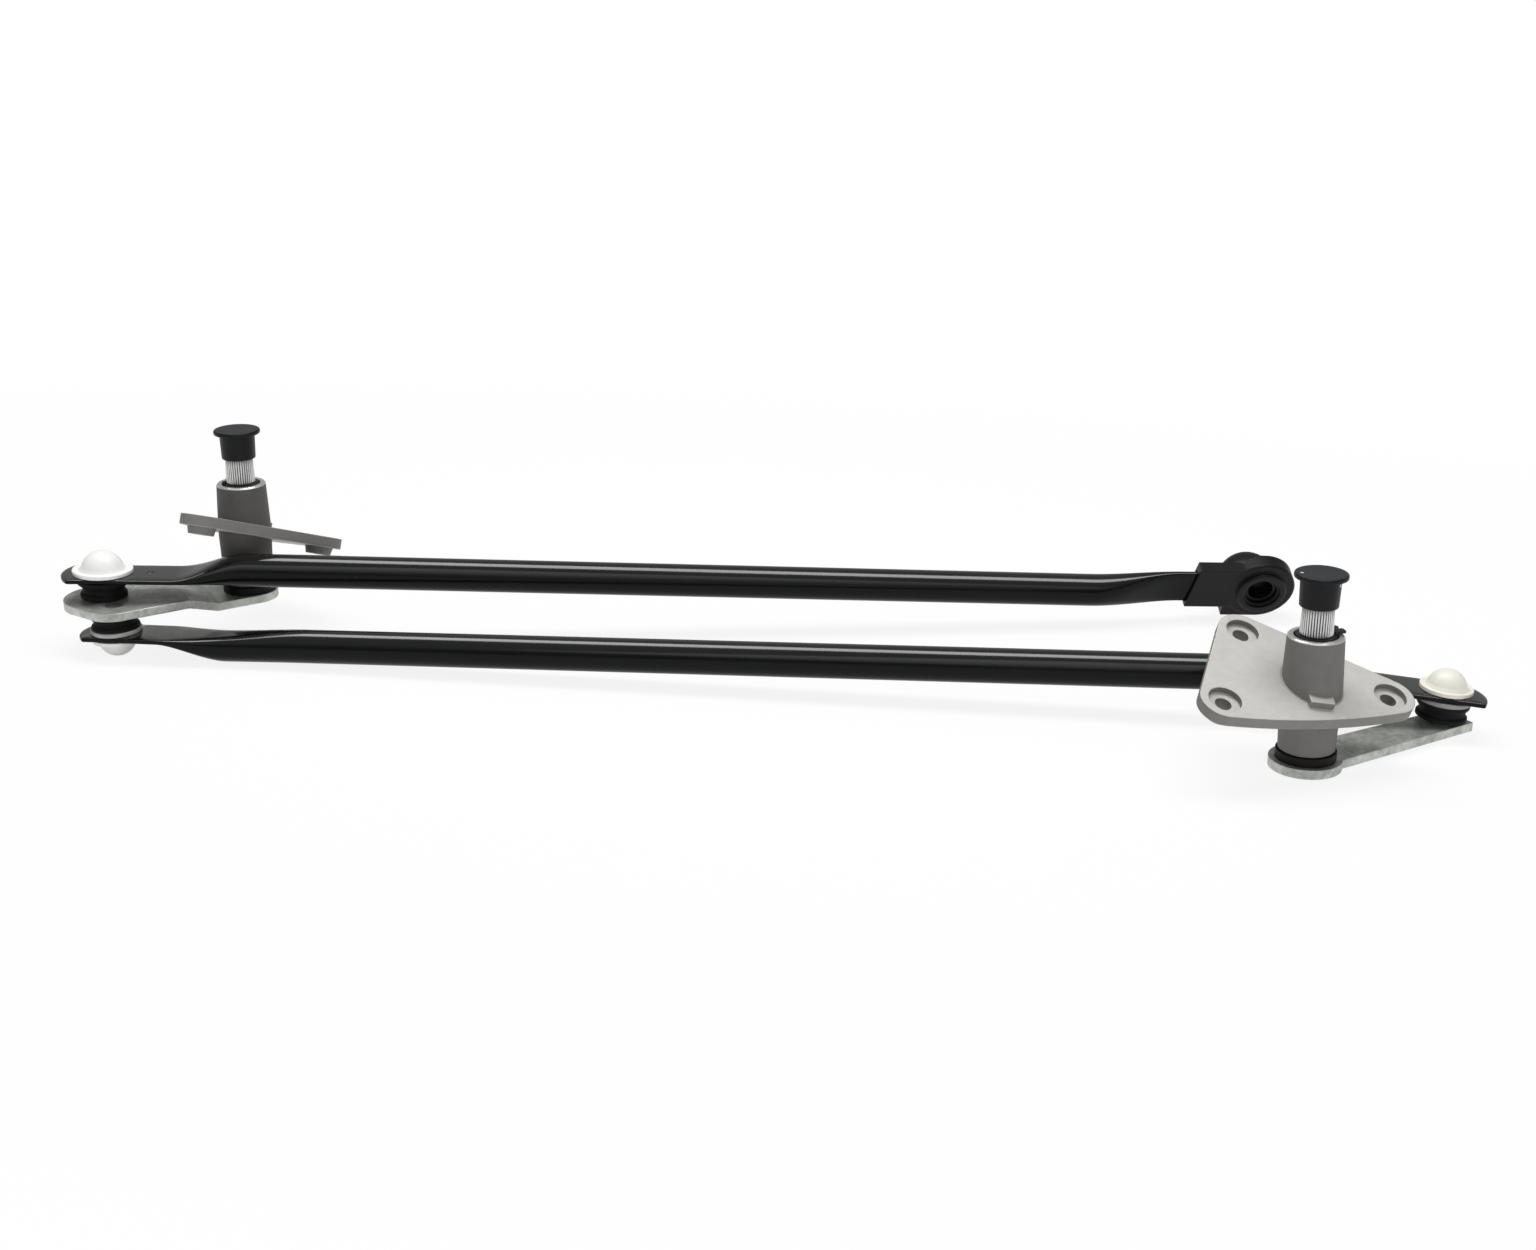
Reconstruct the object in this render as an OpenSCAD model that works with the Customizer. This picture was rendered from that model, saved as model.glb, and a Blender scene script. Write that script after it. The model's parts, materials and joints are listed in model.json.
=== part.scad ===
// Wiper linkage: two die-cast pivot housings, splined shafts, crank levers, ball joints and two tube rods.
// Millimetres, +Z up along the pivot shafts, X along the line of the two pivots.
// It lies as it does loose on a table: the lowest socket, shaft end and cover touch z = 0.

/* [Layout] */
// Distance between the two pivot shafts
pivot_spacing = 512; // [480:1:560]
// Direction of the right lever from its shaft, degrees
right_lever_angle = 51; // [45:1:60]
// Direction of the upper ball stud from the left shaft, degrees
upper_stud_angle = -138.1; // [-142:0.1:-134]
// Direction of the lower ball stud from the left shaft, degrees
lower_stud_angle = -125; // [-128:0.1:-116]
// Direction of the upper rod in plan, degrees
upper_rod_angle = 24.6; // [18:0.1:25]
// Distance of the origin from the left shaft along X
origin_x = 255.2; // [200:0.1:300]
// Distance of the origin from the left shaft along Y
origin_y = 68.5; // [0:0.1:100]

/* [Pivot housings] */
// Length of the pivot tube
tube_len = 50; // [46:0.5:58]
// Outer radius of the tube at its upper mouth
tube_top_r = 11.7; // [11:0.1:13]
// Outer radius of the tube where the plate crosses it
tube_mid_r = 12.6; // [12.2:0.1:14]
// Outer radius of the tube at its lower mouth
tube_low_r = 11.8; // [11:0.1:13]
// Radius of the bore through the tube
tube_bore_r = 9.2; // [8.8:0.1:9.8]
// Chamfer at the tube's mouths
mouth_chamfer = 0.6; // [0.3:0.1:1]
// Height of the plate's upper face on the shaft axis over the tube's lower mouth
plate_height = 28.7; // [26:0.1:31]
// Thickness of the mounting plate
plate_t = 5; // [4:0.1:6]
// Tilt of the left plate against its shaft, degrees
left_tilt = 22; // [18:0.1:26]
// Tilt of the right plate against its shaft, degrees
right_tilt = 23.5; // [18:0.1:26]
// Radius of the plate's corners round the bolt holes
corner_r = 10.5; // [9.5:0.1:12]
// Bulge of the plate's edge between its two lower holes
front_bulge = 3; // [1:0.1:4]
// Radius of the M6 bolt holes
bolt_hole_r = 3.5; // [3.2:0.1:3.8]
// Radius of the counterbores for the bolt heads
counterbore_r = 7; // [6:0.1:7.5]
// Depth of the counterbores
counterbore_depth = 2.7; // [2:0.1:3.5]
// Radius of the bosses under the plate at their root
boss_root_r = 7.4; // [6.5:0.1:8]
// Radius of the bosses at their foot
boss_foot_r = 6; // [5:0.1:6.5]
// Height of the bosses under the plate
boss_h = 3.8; // [3:0.1:7]
// Width of the lug at the foot of the tube
lug_w = 10.4; // [8:0.1:12]
// Height of the lug over the plate
lug_h = 3.2; // [2:0.1:4]
// Reach of the lug in front of the tube
lug_reach = 1.8; // [1:0.1:3]

/* [Shafts] */
// Radius of the shaft's journal
journal_r = 7; // [6.6:0.1:7.2]
// Running clearance between journal and bush
journal_clear = 0.04; // [0.02:0.01:0.09]
// Length of each bush
bush_len = 14; // [10:0.5:16]
// Radius over the knurl's teeth at its foot
knurl_r = 6.9; // [6.4:0.1:7]
// Length of the knurl
knurl_len = 11.8; // [9:0.1:14]
// Narrowing of the knurl towards its upper end
knurl_taper = 0.94; // [0.9:0.01:1]
// Depth of the knurl's teeth
knurl_depth = 0.6; // [0.3:0.05:0.7]
// Number of teeth round the knurl
knurl_teeth = 36; // [32:1:60]
// Radius of the M8 stud over the knurl
stud_r = 4; // [3.5:0.1:5]
// Length of the M8 stud
stud_len = 12.4; // [10:0.1:16]
// Radius of the spigot that is riveted into the lever
spigot_r = 5.6; // [5:0.1:6.2]
// Radius of the rivet head under the lever
rivet_r = 8; // [7:0.1:9]
// Height of the rivet head under the lever
rivet_h = 1.7; // [1.5:0.1:2.5]
// Thickness of the dust seal in the tube's mouth
seal_t = 2.2; // [1.5:0.1:3]
// Thickness of the retaining clip
clip_t = 1.2; // [1:0.1:1.5]
// Outer radius of the retaining clip
clip_r = 8.5; // [8:0.1:9]
// Height of the thrust ring between lever and tube
thrust_h = 3.8; // [3:0.1:5]
// Outer radius of the thrust ring
thrust_r = 12.6; // [12:0.1:13.2]

/* [Caps] */
// Radius of the cap's flange
cap_r = 11; // [10:0.1:12]
// Thickness of the cap's flange
cap_flange_t = 2.2; // [1.8:0.1:4]
// Radius of the cap's sleeve under its flange
cap_sleeve_r = 8.4; // [8:0.1:9]
// Radius of the cap's sleeve at its foot
cap_foot_r = 8; // [7.4:0.1:8.4]
// Thickness of the cap over the stud's end
cap_roof_t = 1.9; // [1.5:0.1:3]

/* [Levers] */
// Thickness of the lever plates
lever_t = 4; // [3:0.1:5]
// Distance from the right shaft to its ball stud
right_lever_len = 81; // [76:0.5:90]
// Radius of the right lever round its shaft
right_hub_r = 15.2; // [14:0.1:16]
// Width of the right lever's bar at its shaft
right_bar_w = 21.8; // [18:0.1:26]
// Width of the right lever's bar at its square end
right_tip_w = 17.6; // [14:0.1:20]
// Reach of the right lever beyond its ball stud
right_tip = 9; // [6.5:0.1:12]
// Distance from the left shaft to its upper ball stud
upper_stud_len = 68.3; // [66:0.1:74]
// Distance from the left shaft to its lower ball stud
lower_stud_len = 67.5; // [66:0.1:74]
// Radius of the left lever round its shaft
left_hub_r = 13.6; // [13.2:0.1:16]
// Radius of the left lever round its upper ball stud
upper_eye_r = 19.5; // [17:0.1:21]
// Radius of the left lever round its lower ball stud
lower_eye_r = 13.3; // [11:0.1:15]
// Height of the step between the left lever's two ends
lever_step = 4; // [2:0.1:5]

/* [Ball joints] */
// Radius of the balls on the lower rod
ball_r = 6; // [5:0.1:6.5]
// Radius of the ball on the upper rod
drive_ball_r = 6.5; // [6:0.1:7]
// Clearance between ball and socket
ball_clear = 0.15; // [0.1:0.01:0.3]
// Distance from the left lever's underside to the lower rod's ball centre
lower_stud_reach = 11.85; // [11.5:0.05:14]
// Distance from the left lever's upper face to the upper rod's ball centre
drive_stud_reach = 12.8; // [12.5:0.1:16]
// Distance from the right lever's face to its ball's centre
right_stud_reach = 14.5; // [13.5:0.1:16]
// Outer radius of the sockets' domes on the lower rod
dome_r = 9.05; // [8.6:0.05:9.6]
// Outer radius of the socket's dome on the upper rod
drive_dome_r = 10.4; // [9.8:0.1:11]
// Radius of the socket's flange on the lower rod
flange_r = 11.5; // [10.5:0.1:12.5]
// Radius of the socket's flange on the upper rod
drive_flange_r = 14.2; // [13:0.1:15.4]
// Thickness of the socket's flange
flange_t = 1.6; // [1.2:0.1:2.2]
// Radius of the second flange on the far side of the lower rod's flats
lip_r = 12; // [11:0.1:12.6]
// Thickness of the second flange
lip_t = 2; // [1.5:0.1:2.4]
// Radius of the stud's neck under the ball
neck_r = 4.4; // [3.5:0.1:4.8]
// Height of the stud's rivet head
stud_head_h = 1.4; // [1:0.1:1.6]
// Radius of the stud's rivet head
stud_head_r = 5.6; // [5:0.1:5.8]
// Outer radius of the boots at their waist
boot_waist_r = 9.8; // [8.4:0.1:10]
// Wall of the rubber boots
boot_wall = 1.6; // [1.2:0.1:2]
// Gap between a left boot's foot and the lever
boot_gap = 0.7; // [0.5:0.1:1]
// Gap between the right boot's foot and the lever
right_boot_gap = 1.7; // [1.5:0.1:2.2]

/* [Rods] */
// Outer radius of the rod tubes
rod_r = 8; // [7:0.1:8.2]
// Wall of the rod tubes
rod_wall = 1.5; // [1:0.1:2]
// Thickness of the flattened rod ends
flat_t = 2.8; // [2.4:0.1:3.2]
// Width of the lower rod's flattened ends
flat_w = 22.8; // [21:0.1:24]
// Width of the upper rod's flattened left end
drive_flat_w = 25.5; // [22:0.1:28]
// Radius of the round cut at the upper rod's left tip
drive_tip_r = 20; // [18:0.1:22]
// Distance of that cut's centre from the ball
drive_tip_x = 0.7; // [0:0.1:3]
// Radius of the round cut at the lower rod's left tip
left_tip_r = 15.9; // [15:0.1:18]
// Distance of that cut's centre from the ball
left_tip_x = -1.4; // [-3:0.1:0]
// Radius of the round cut at the lower rod's right tip
right_tip_r = 17; // [16:0.1:18]
// Distance of that cut's centre to the side of the ball
right_tip_y = 4; // [0:0.1:5]
// Slope of the lower rod's right end against the rod, degrees
right_pitch = 6; // [4:0.5:6.5]
// Length of the upper rod between its ball centres in plan
upper_rod_len = 567.4; // [540:0.1:590]
// Length of a flat end measured from its ball
flat_len = 40; // [30:1:46]
// Length over which the tube narrows to a flat end
blend_len = 48; // [40:1:60]
// Length of the upper rod's left flat measured from its ball
drive_flat_len = 34; // [30:1:36]
// Length over which the upper rod narrows to its left flat
drive_blend_len = 34; // [30:1:36]
// Height of the upper rod's tube over its left ball
upper_tube_rise = 2.3; // [0:0.1:4]
// Height of the lower rod's tube over its left ball
lower_left_rise = -2.25; // [-2.5:0.05:1]
// Height of the lower rod's tube over its right ball
lower_right_rise = 2.8; // [0:0.1:6]
// Radius of the small hole in the upper rod's left end
pilot_r = 1.7; // [1:0.1:2]
// Distance of the small hole from the ball
pilot_x = 22.4; // [20:0.1:30]

/* [Motor end] */
// Roll of the motor end about the rod against the left end, degrees
motor_roll = 65; // [55:1:75]
// Width of the rod's flat inside the cover
motor_flat_w = 18.6; // [18:0.1:22]
// Radius of the rod's eye inside the cover
motor_eye_r = 12.6; // [12:0.1:14]
// Offset of the tube from the motor-end ball, away from the dome
motor_tube_drop = 6.7; // [4:0.1:8]
// Outer radius of the ring round the cover's opening
cup_r = 12.4; // [11.5:0.1:14]
// Depth of that ring's rim in front of the ball centre
cup_depth = 7.2; // [6.5:0.1:9]
// Radius of the opening in the cover
cup_mouth_r = 7.9; // [7:0.1:8.2]
// Radius of the cover's round body
cover_r = 17; // [15.5:0.1:18]
// Depth of the body's front in front of the ball centre
cover_front = 5; // [4.6:0.1:6]
// Height of the body's back behind the ball centre
cover_back = 3; // [2.5:0.1:5]
// Wall of the cover
cover_wall = 1.6; // [1.2:0.1:2]
// Length of the cover's sleeve measured from the ball
sleeve_len = 37; // [28:0.5:39]
// Extra height of the sleeve's upper wall
sleeve_top = 2.5; // [0:0.1:4]
// Slant of the sleeve's mouth
sleeve_slant = 4; // [0:0.5:8]
// Radius of the round hump behind the ball
hump_r = 14.5; // [14:0.1:16]
// Distance of the hump's centre from the ball along the rod
hump_x = 6; // [3:0.1:7]
// Height of the hump's centre behind the ball
hump_z = 3; // [2:0.1:4]

/* [Hidden] */
$fn = 64;

aluminium = "#9a9b9b";
plated_steel = "#b9bcb4";
bright_steel = "#d3d5d6";
bronze = "#a8875a";
black_paint = "#15161a";
black_plastic = "#1d1e20";
rubber = "#2a2b2c";
nylon = "#f2f0e6";

// Bolt holes of the mounting plate, seen from its upper face with the shaft at the centre
bolt_holes = [[-36, -9.8], [-1.7, -44.3], [15.5, 30.5]];
// Direction in plan in which each plate falls, and the turns of its holes and of its lug against it
left_fall = 88;
left_hole_turn = 118;
left_lug_turn = 0;
right_fall = -41.1;
right_hole_turn = 0;
right_lug_turn = -24;

// Small clearances and overlaps between neighbours
run_gap = 0.2;
fit_gap = 0.1;
seal_gap = 0.3;
weld = 0.5;
edge = 0.02;
// Depth past a piece's faces of a cut that opens them, and a depth that passes any piece
cut = 1;
tall = 4 * tube_len;

// Small details of the shafts and caps
clip_sink = 1;
clip_half_gap = 18;
clip_lug_r = 0.9;
clip_lug_h = 1.2;
clip_lug_gap = 0.35;
clip_lug_at = tube_bore_r - clip_lug_r - clip_lug_gap;
clip_groove_depth = 1.1;
knurl_gap = 0.6;
knurl_neck_step = 0.3;
stud_chamfer = 1;
cap_chamfer = 0.6;

// Small details of the ball joints
snap_lip = 0.4;
collar_wall = 2.05;
collar_lip = 0.8;
seat_gap = 0.3;
dome_fillet = 1;
boot_inset = 0.6;
boot_slack = 1.8;
boot_foot = 1.2;
// Parts of a boot's height: its rim, its narrowing, its waist and its hem
boot_rim = 0.24;
boot_neck = 0.5;
boot_waist = 0.32;
boot_hem = 0.2;
drive_boot_r = 12.4;

// Small details of the rod tips and of the motor cover
tip_lap = 10;
cover_chamfer = 0.8;
crown_r = 15.5;
crown_top_r = 9.5;
crown_h = 8.5;
crown_x = 1;
ring_wall = 3.2;
ring_sink = 1.6;

// Heights along a pivot shaft over the lever's upper face
tube_z = thrust_h + run_gap;
mouth_z = tube_z + tube_len;
clip_z = mouth_z - clip_sink;
seal_z = clip_z - run_gap - seal_t;
groove_r = journal_r - clip_groove_depth;
knurl_z = mouth_z + knurl_gap;
knurl_neck_r = knurl_r - knurl_depth - knurl_neck_step;
knurl_top_z = knurl_z + knurl_len;
stud_top_z = knurl_top_z + stud_len;
cap_z = knurl_top_z;

// Heights of a flat rod end and of a socket's foot over the ball centre
flat_z = -flat_t / 2 - seat_gap;
seat_z = flat_z + flat_t / 2;
under_z = flat_z - flat_t / 2;
collar_z = under_z - collar_lip;

// Heights over the table and places of the three lever joints
right_lever_z = rivet_h;
right_top_z = right_lever_z + lever_t;
left_end_z = dome_r + lower_stud_reach;
left_lever_z = left_end_z - lever_step;
left_top_z = left_lever_z + lever_t;
function polar(r, a) = [r * cos(a), r * sin(a)];
upper_stud_xy = polar(upper_stud_len, upper_stud_angle);
lower_stud_xy = polar(lower_stud_len, lower_stud_angle);
right_stud_xy = [pivot_spacing, 0] + polar(right_lever_len, right_lever_angle);
motor_xy = upper_stud_xy + polar(upper_rod_len, upper_rod_angle);
motor_z = (cover_front - cover_chamfer) * cos(motor_roll) + cover_r * sin(motor_roll);
function up(xy, z) = [xy.x, xy.y, z];
upper_ball = up(upper_stud_xy, left_end_z + lever_t + drive_stud_reach);
lower_ball = up(lower_stud_xy, dome_r);
right_ball = up(right_stud_xy, right_top_z + right_stud_reach);
motor_ball = up(motor_xy, motor_z);
upper_span = norm(motor_ball - upper_ball);
lower_span = norm(right_ball - lower_ball);

// Common shapes

module origin_shift() {
    translate([-origin_x, -origin_y, 0]) children();
}

module at_left() {
    origin_shift() translate([0, 0, left_top_z]) children();
}

module at_right() {
    origin_shift() translate([pivot_spacing, 0, right_top_z]) children();
}

module ring(r, inner, h) {
    difference() {
        cylinder(r = r, h = h);
        translate([0, 0, -cut]) cylinder(r = inner, h = h + 2 * cut);
    }
}

// Band between two circles, along their outer tangents
module tangent_band(p, q, rp, rq) {
    d = (q - p) / norm(q - p);
    side = [-d.y, d.x];
    c = (rp - rq) / norm(q - p);
    s = sqrt(1 - c * c);
    polygon([
        p + (rp - edge) * (c * d + s * side), q + (rq - edge) * (c * d + s * side),
        q + (rq - edge) * (c * d - s * side), p + (rp - edge) * (c * d - s * side)
    ]);
}

// Plate stretched round three circles
module three_circle_plate(c, r, t) {
    for (i = [0:2]) {
        translate(c[i]) cylinder(r = r[i], h = t);
        linear_extrude(t) tangent_band(c[i], c[(i + 1) % 3], r[i], r[(i + 1) % 3]);
    }
    linear_extrude(t) polygon(c);
}

// Solid skin over a row of rings with the same number of points
module loft(rings) {
    n = len(rings[0]);
    last = len(rings) - 1;
    polyhedron(
        points = [for (r = rings) each r],
        faces = [
            [for (i = [0:n - 1]) i],
            [for (i = [n - 1:-1:0]) last * n + i],
            for (k = [0:last - 1], i = [0:n - 1])
                let (j = (i + 1) % n)
                each [
                    [k * n + i, (k + 1) * n + i, (k + 1) * n + j],
                    [k * n + i, (k + 1) * n + j, k * n + j]
                ]
        ]
    );
}

// Places its children with +Z along the line from p to q
module along(p, q) {
    v = q - p;
    translate(p) rotate([0, acos(v.z / norm(v)), atan2(v.y, v.x)]) children();
}

// Places its children with X along the line from p to q and Y level
module between(p, q) {
    v = q - p;
    translate(p) rotate([0, -asin(v.z / norm(v)), atan2(v.y, v.x)]) children();
}

module upper_rod_frame() {
    origin_shift() between(upper_ball, motor_ball) children();
}

module lower_rod_frame() {
    origin_shift() between(lower_ball, right_ball) children();
}

module right_end_frame() {
    lower_rod_frame() translate([lower_span, 0, 0]) rotate([0, right_pitch, 0]) children();
}

module motor_frame() {
    upper_rod_frame() translate([upper_span, 0, 0]) rotate([-motor_roll, 0, 0]) children();
}

// Pivot housing

module tilted_plate(fall, tilt) {
    rotate([0, 0, fall]) translate([0, 0, plate_height]) rotate([0, tilt, 0]) children();
}

// Arc that swells out between two corners of a plate and runs smoothly into both
module swelled_edge(p, q, r, swell, t) {
    half = norm(q - p) / 2;
    out = [q.y - p.y, p.x - q.x] / (2 * half);
    reach = (half * half + swell * swell) / (2 * swell);
    centre = (p + q) / 2 - out * (reach - swell);
    intersection() {
        translate(centre) cylinder(r = reach + r - edge, h = t);
        linear_extrude(t)
            polygon([p, q, q + (q - centre) * 2 * r / reach, p + (p - centre) * 2 * r / reach]);
    }
}

module mounting_plate() {
    three_circle_plate(bolt_holes, [corner_r, corner_r, corner_r], plate_t);
    swelled_edge(bolt_holes[1], bolt_holes[2], corner_r, front_bulge, plate_t);
}

module pivot_tube() {
    rotate_extrude()
        polygon([
            [0, 0], [tube_low_r - mouth_chamfer, 0], [tube_low_r, mouth_chamfer],
            [tube_mid_r, plate_height - plate_t], [tube_mid_r, plate_height],
            [tube_top_r, tube_len - mouth_chamfer], [tube_top_r - mouth_chamfer, tube_len], [0, tube_len]
        ]);
}

module lug(tilt, turn) {
    rotate([0, 0, turn])
        translate([0, -lug_w / 2, -plate_t / 2])
            cube([tube_mid_r / cos(tilt) + lug_reach, lug_w, plate_t / 2 + lug_h]);
}

module pivot_housing(fall, tilt, hole_turn, lug_turn) {
    difference() {
        union() {
            pivot_tube();
            tilted_plate(fall, tilt) {
                translate([0, 0, -plate_t]) rotate([0, 0, hole_turn]) mounting_plate();
                lug(tilt, lug_turn);
                for (h = bolt_holes)
                    rotate([0, 0, hole_turn])
                        translate([h.x, h.y, -plate_t - boss_h])
                            cylinder(r1 = boss_foot_r, r2 = boss_root_r, h = boss_h + plate_t / 2);
            }
        }
        translate([0, 0, -tall / 2]) cylinder(r = tube_bore_r, h = tall);
        tilted_plate(fall, tilt)
            for (h = bolt_holes)
                rotate([0, 0, hole_turn]) translate([h.x, h.y, 0]) {
                    translate([0, 0, -counterbore_depth]) cylinder(r = counterbore_r, h = plate_t);
                    translate([0, 0, -tall / 4]) cylinder(r = bolt_hole_r, h = tall / 2);
                }
    }
}

module bush_pair() {
    for (z = [tube_z, seal_z - bush_len])
        translate([0, 0, z]) ring(tube_bore_r, journal_r + journal_clear, bush_len);
}

// Sits in the tube's mouth over the upper bush
module dust_seal() {
    translate([0, 0, seal_z]) ring(tube_bore_r, journal_r + seal_gap, seal_t);
}

// Shaft and what turns with it

// Straight teeth, turned down to a taper over their tips
module knurl() {
    intersection() {
        linear_extrude(knurl_len)
            polygon([
                for (i = [0:2 * knurl_teeth - 1])
                    polar(knurl_r - (i % 2) * knurl_depth, 180 * i / knurl_teeth)
            ]);
        cylinder(r1 = knurl_r + edge, r2 = knurl_r * knurl_taper, h = knurl_len);
    }
}

module pivot_shaft() {
    rotate_extrude()
        polygon([
            [0, -lever_t - rivet_h], [rivet_r - rivet_h / 2, -lever_t - rivet_h],
            [rivet_r, -lever_t - rivet_h / 2], [rivet_r, -lever_t],
            [spigot_r, -lever_t], [spigot_r, 0], [journal_r, 0],
            [journal_r, clip_z - fit_gap], [groove_r, clip_z - fit_gap],
            [groove_r, clip_z + clip_t + fit_gap], [knurl_neck_r, clip_z + clip_t + fit_gap],
            [knurl_neck_r, knurl_z + weld], [0, knurl_z + weld]
        ]);
    translate([0, 0, knurl_z]) knurl();
    rotate_extrude()
        polygon([
            [0, knurl_top_z - weld], [stud_r, knurl_top_z - weld], [stud_r, stud_top_z - stud_chamfer],
            [stud_r - stud_chamfer, stud_top_z], [0, stud_top_z]
        ]);
}

// Open spring ring with two lugs
module retaining_clip(gap_angle) {
    lug_turn_in = 6;
    translate([0, 0, clip_z]) {
        rotate([0, 0, gap_angle + clip_half_gap])
            rotate_extrude(angle = 360 - 2 * clip_half_gap)
                translate([groove_r + fit_gap, 0]) square([clip_r - groove_r - fit_gap, clip_t]);
        for (side = [-1, 1])
            translate(up(polar(clip_lug_at, gap_angle + side * (clip_half_gap + lug_turn_in)), 0))
                cylinder(r = clip_lug_r, h = clip_t + clip_lug_h);
    }
}

module thrust_ring() {
    ring(thrust_r, journal_r + fit_gap, thrust_h);
}

module stud_cap() {
    cap_top = stud_top_z + cap_roof_t;
    difference() {
        rotate_extrude()
            polygon([
                [0, cap_z], [cap_foot_r, cap_z], [cap_sleeve_r, cap_top - cap_flange_t],
                [cap_r, cap_top - cap_flange_t], [cap_r, cap_top - cap_chamfer],
                [cap_r - cap_chamfer, cap_top], [0, cap_top]
            ]);
        translate([0, 0, cap_z - cut]) cylinder(r = stud_r + fit_gap, h = stud_len + fit_gap + cut);
    }
}

// Ball joint, drawn with the ball at the origin, the dome up and the stud below

module ball_stud(r, reach, head_h) {
    sphere(r = r);
    translate([0, 0, -reach - lever_t]) cylinder(r = neck_r, h = reach + lever_t - r / 2);
    if (head_h > 0)
        translate([0, 0, -reach - lever_t - head_h]) cylinder(r = stud_head_r, h = head_h);
}

function collar_r(r) = r + ball_clear + collar_wall;

// The far flange is left out where far_r is 0
module ball_socket(r, dome, rim_r, mouth_r, far_r = 0) {
    difference() {
        union() {
            difference() {
                sphere(r = dome);
                translate([0, 0, seat_z - tall]) cylinder(r = tall, h = tall);
            }
            translate([0, 0, seat_z]) {
                cylinder(r = rim_r, h = flange_t);
                translate([0, 0, flange_t])
                    cylinder(r1 = dome + dome_fillet, r2 = dome - dome_fillet, h = 2 * dome_fillet);
            }
            translate([0, 0, collar_z]) cylinder(r = collar_r(r), h = seat_z - collar_z + flange_t / 2);
            if (far_r > 0) translate([0, 0, under_z - lip_t]) cylinder(r = far_r, h = lip_t);
        }
        sphere(r = r + ball_clear);
        translate([0, 0, -tall]) cylinder(r = mouth_r, h = tall);
    }
}

// Rubber bellows between a socket and the lever, from top_z down to foot_z
module boot(top_z, foot_z, rim_r, rim_in) {
    h = top_z - foot_z;
    waist_in = boot_waist_r - boot_wall;
    foot_r = boot_waist_r + boot_foot;
    foot_in = neck_r + boot_slack;
    rotate_extrude()
        polygon([
            [rim_in, top_z], [rim_r, top_z], [rim_r, top_z - h * boot_rim],
            [boot_waist_r, top_z - h * boot_neck], [boot_waist_r, foot_z + h * boot_waist],
            [foot_r, foot_z + h * boot_hem], [foot_r, foot_z],
            [foot_in, foot_z], [foot_in, foot_z + h * boot_hem],
            [waist_in, foot_z + h * boot_waist], [waist_in, top_z - h * boot_neck],
            [rim_in, top_z - h * boot_rim]
        ]);
}

// Rod ends: the tube is pressed from round to flat

function ease(t) = t * t * (3 - 2 * t);
function bend(v, e) = sign(v) * pow(abs(v), e);
function rod_tube_at(x, span, c0, c1) = [x, 0, 0] + c0 + (c1 - c0) * x / span;

section_n = 32;
blend_steps = 12;

// Cross-section of a rod end: s runs from 0 on the round tube to 1 on the flat
function rod_ring(x, s, centre, width, roll) =
    let (
        hw = rod_r - edge * 2 + (width / 2 - rod_r) * s,
        ht = rod_r - edge * 2 + (flat_t / 2 - rod_r) * s,
        e = 1 - 0.6 * s
    )
    [
        for (i = [0:section_n - 1])
            let (a = 360 * (i + 0.5) / section_n, u = hw * bend(cos(a), e), v = ht * bend(sin(a), e))
            [x, centre.y + u * cos(roll) - v * sin(roll), centre.z + u * sin(roll) + v * cos(roll)]
    ];

// One pressed end; side is 1 at the rod's start and -1 at its far end,
// and pitch lifts the flat towards the tube
module rod_end(
    ball_x, side, span, c0, c1, flat_c, width, roll,
    flat_l = flat_len, blend_l = blend_len, pitch = 0
) {
    stations = [
        [0, 1],
        [flat_l, 1],
        for (k = [1:blend_steps]) [flat_l + blend_l * k / blend_steps, 1 - ease(k / blend_steps)]
    ];
    ordered = side > 0 ? stations : [for (k = [len(stations) - 1:-1:0]) stations[k]];
    loft([
        for (st = ordered)
            let (
                x = ball_x + side * st[0],
                tube = rod_tube_at(x, span, c0, c1),
                flat = flat_c + [0, 0, st[0] * tan(pitch)]
            )
            rod_ring(x, st[1], tube + (flat - tube) * st[1], width, roll)
    ]);
}

module rod_tube(span, c0, c1, start = flat_len + blend_len) {
    p = rod_tube_at(start - weld, span, c0, c1);
    q = rod_tube_at(span - flat_len - blend_len + weld, span, c0, c1);
    along(p, q) ring(rod_r, rod_r - rod_wall, norm(q - p));
}

// Outer end of a flat: its band, cut off round
module rod_tip(r, centre, w = flat_w) {
    translate([0, 0, under_z]) intersection() {
        translate(centre) cylinder(r = r, h = flat_t);
        translate([-tall, -w / 2, 0]) cube([tall + tip_lap, w, flat_t]);
    }
}

module socket_hole(r) {
    translate([0, 0, flat_z - tall / 2]) cylinder(r = collar_r(r) + fit_gap, h = tall);
}

// Sub-parts of the left pivot

module left_pivot_housing() {
    color(aluminium) at_left() translate([0, 0, tube_z])
        pivot_housing(left_fall, left_tilt, left_hole_turn, left_lug_turn);
}

module left_bushes() {
    color(bronze) at_left() bush_pair();
}

module left_seal() {
    color(rubber) at_left() dust_seal();
}

module left_shaft() {
    color(bright_steel) at_left() pivot_shaft();
}

module left_clip() {
    color(black_paint) at_left() retaining_clip(200);
}

module left_thrust_ring() {
    color(black_plastic) at_left() thrust_ring();
}

module left_cap() {
    color(black_plastic) at_left() stud_cap();
}

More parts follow.
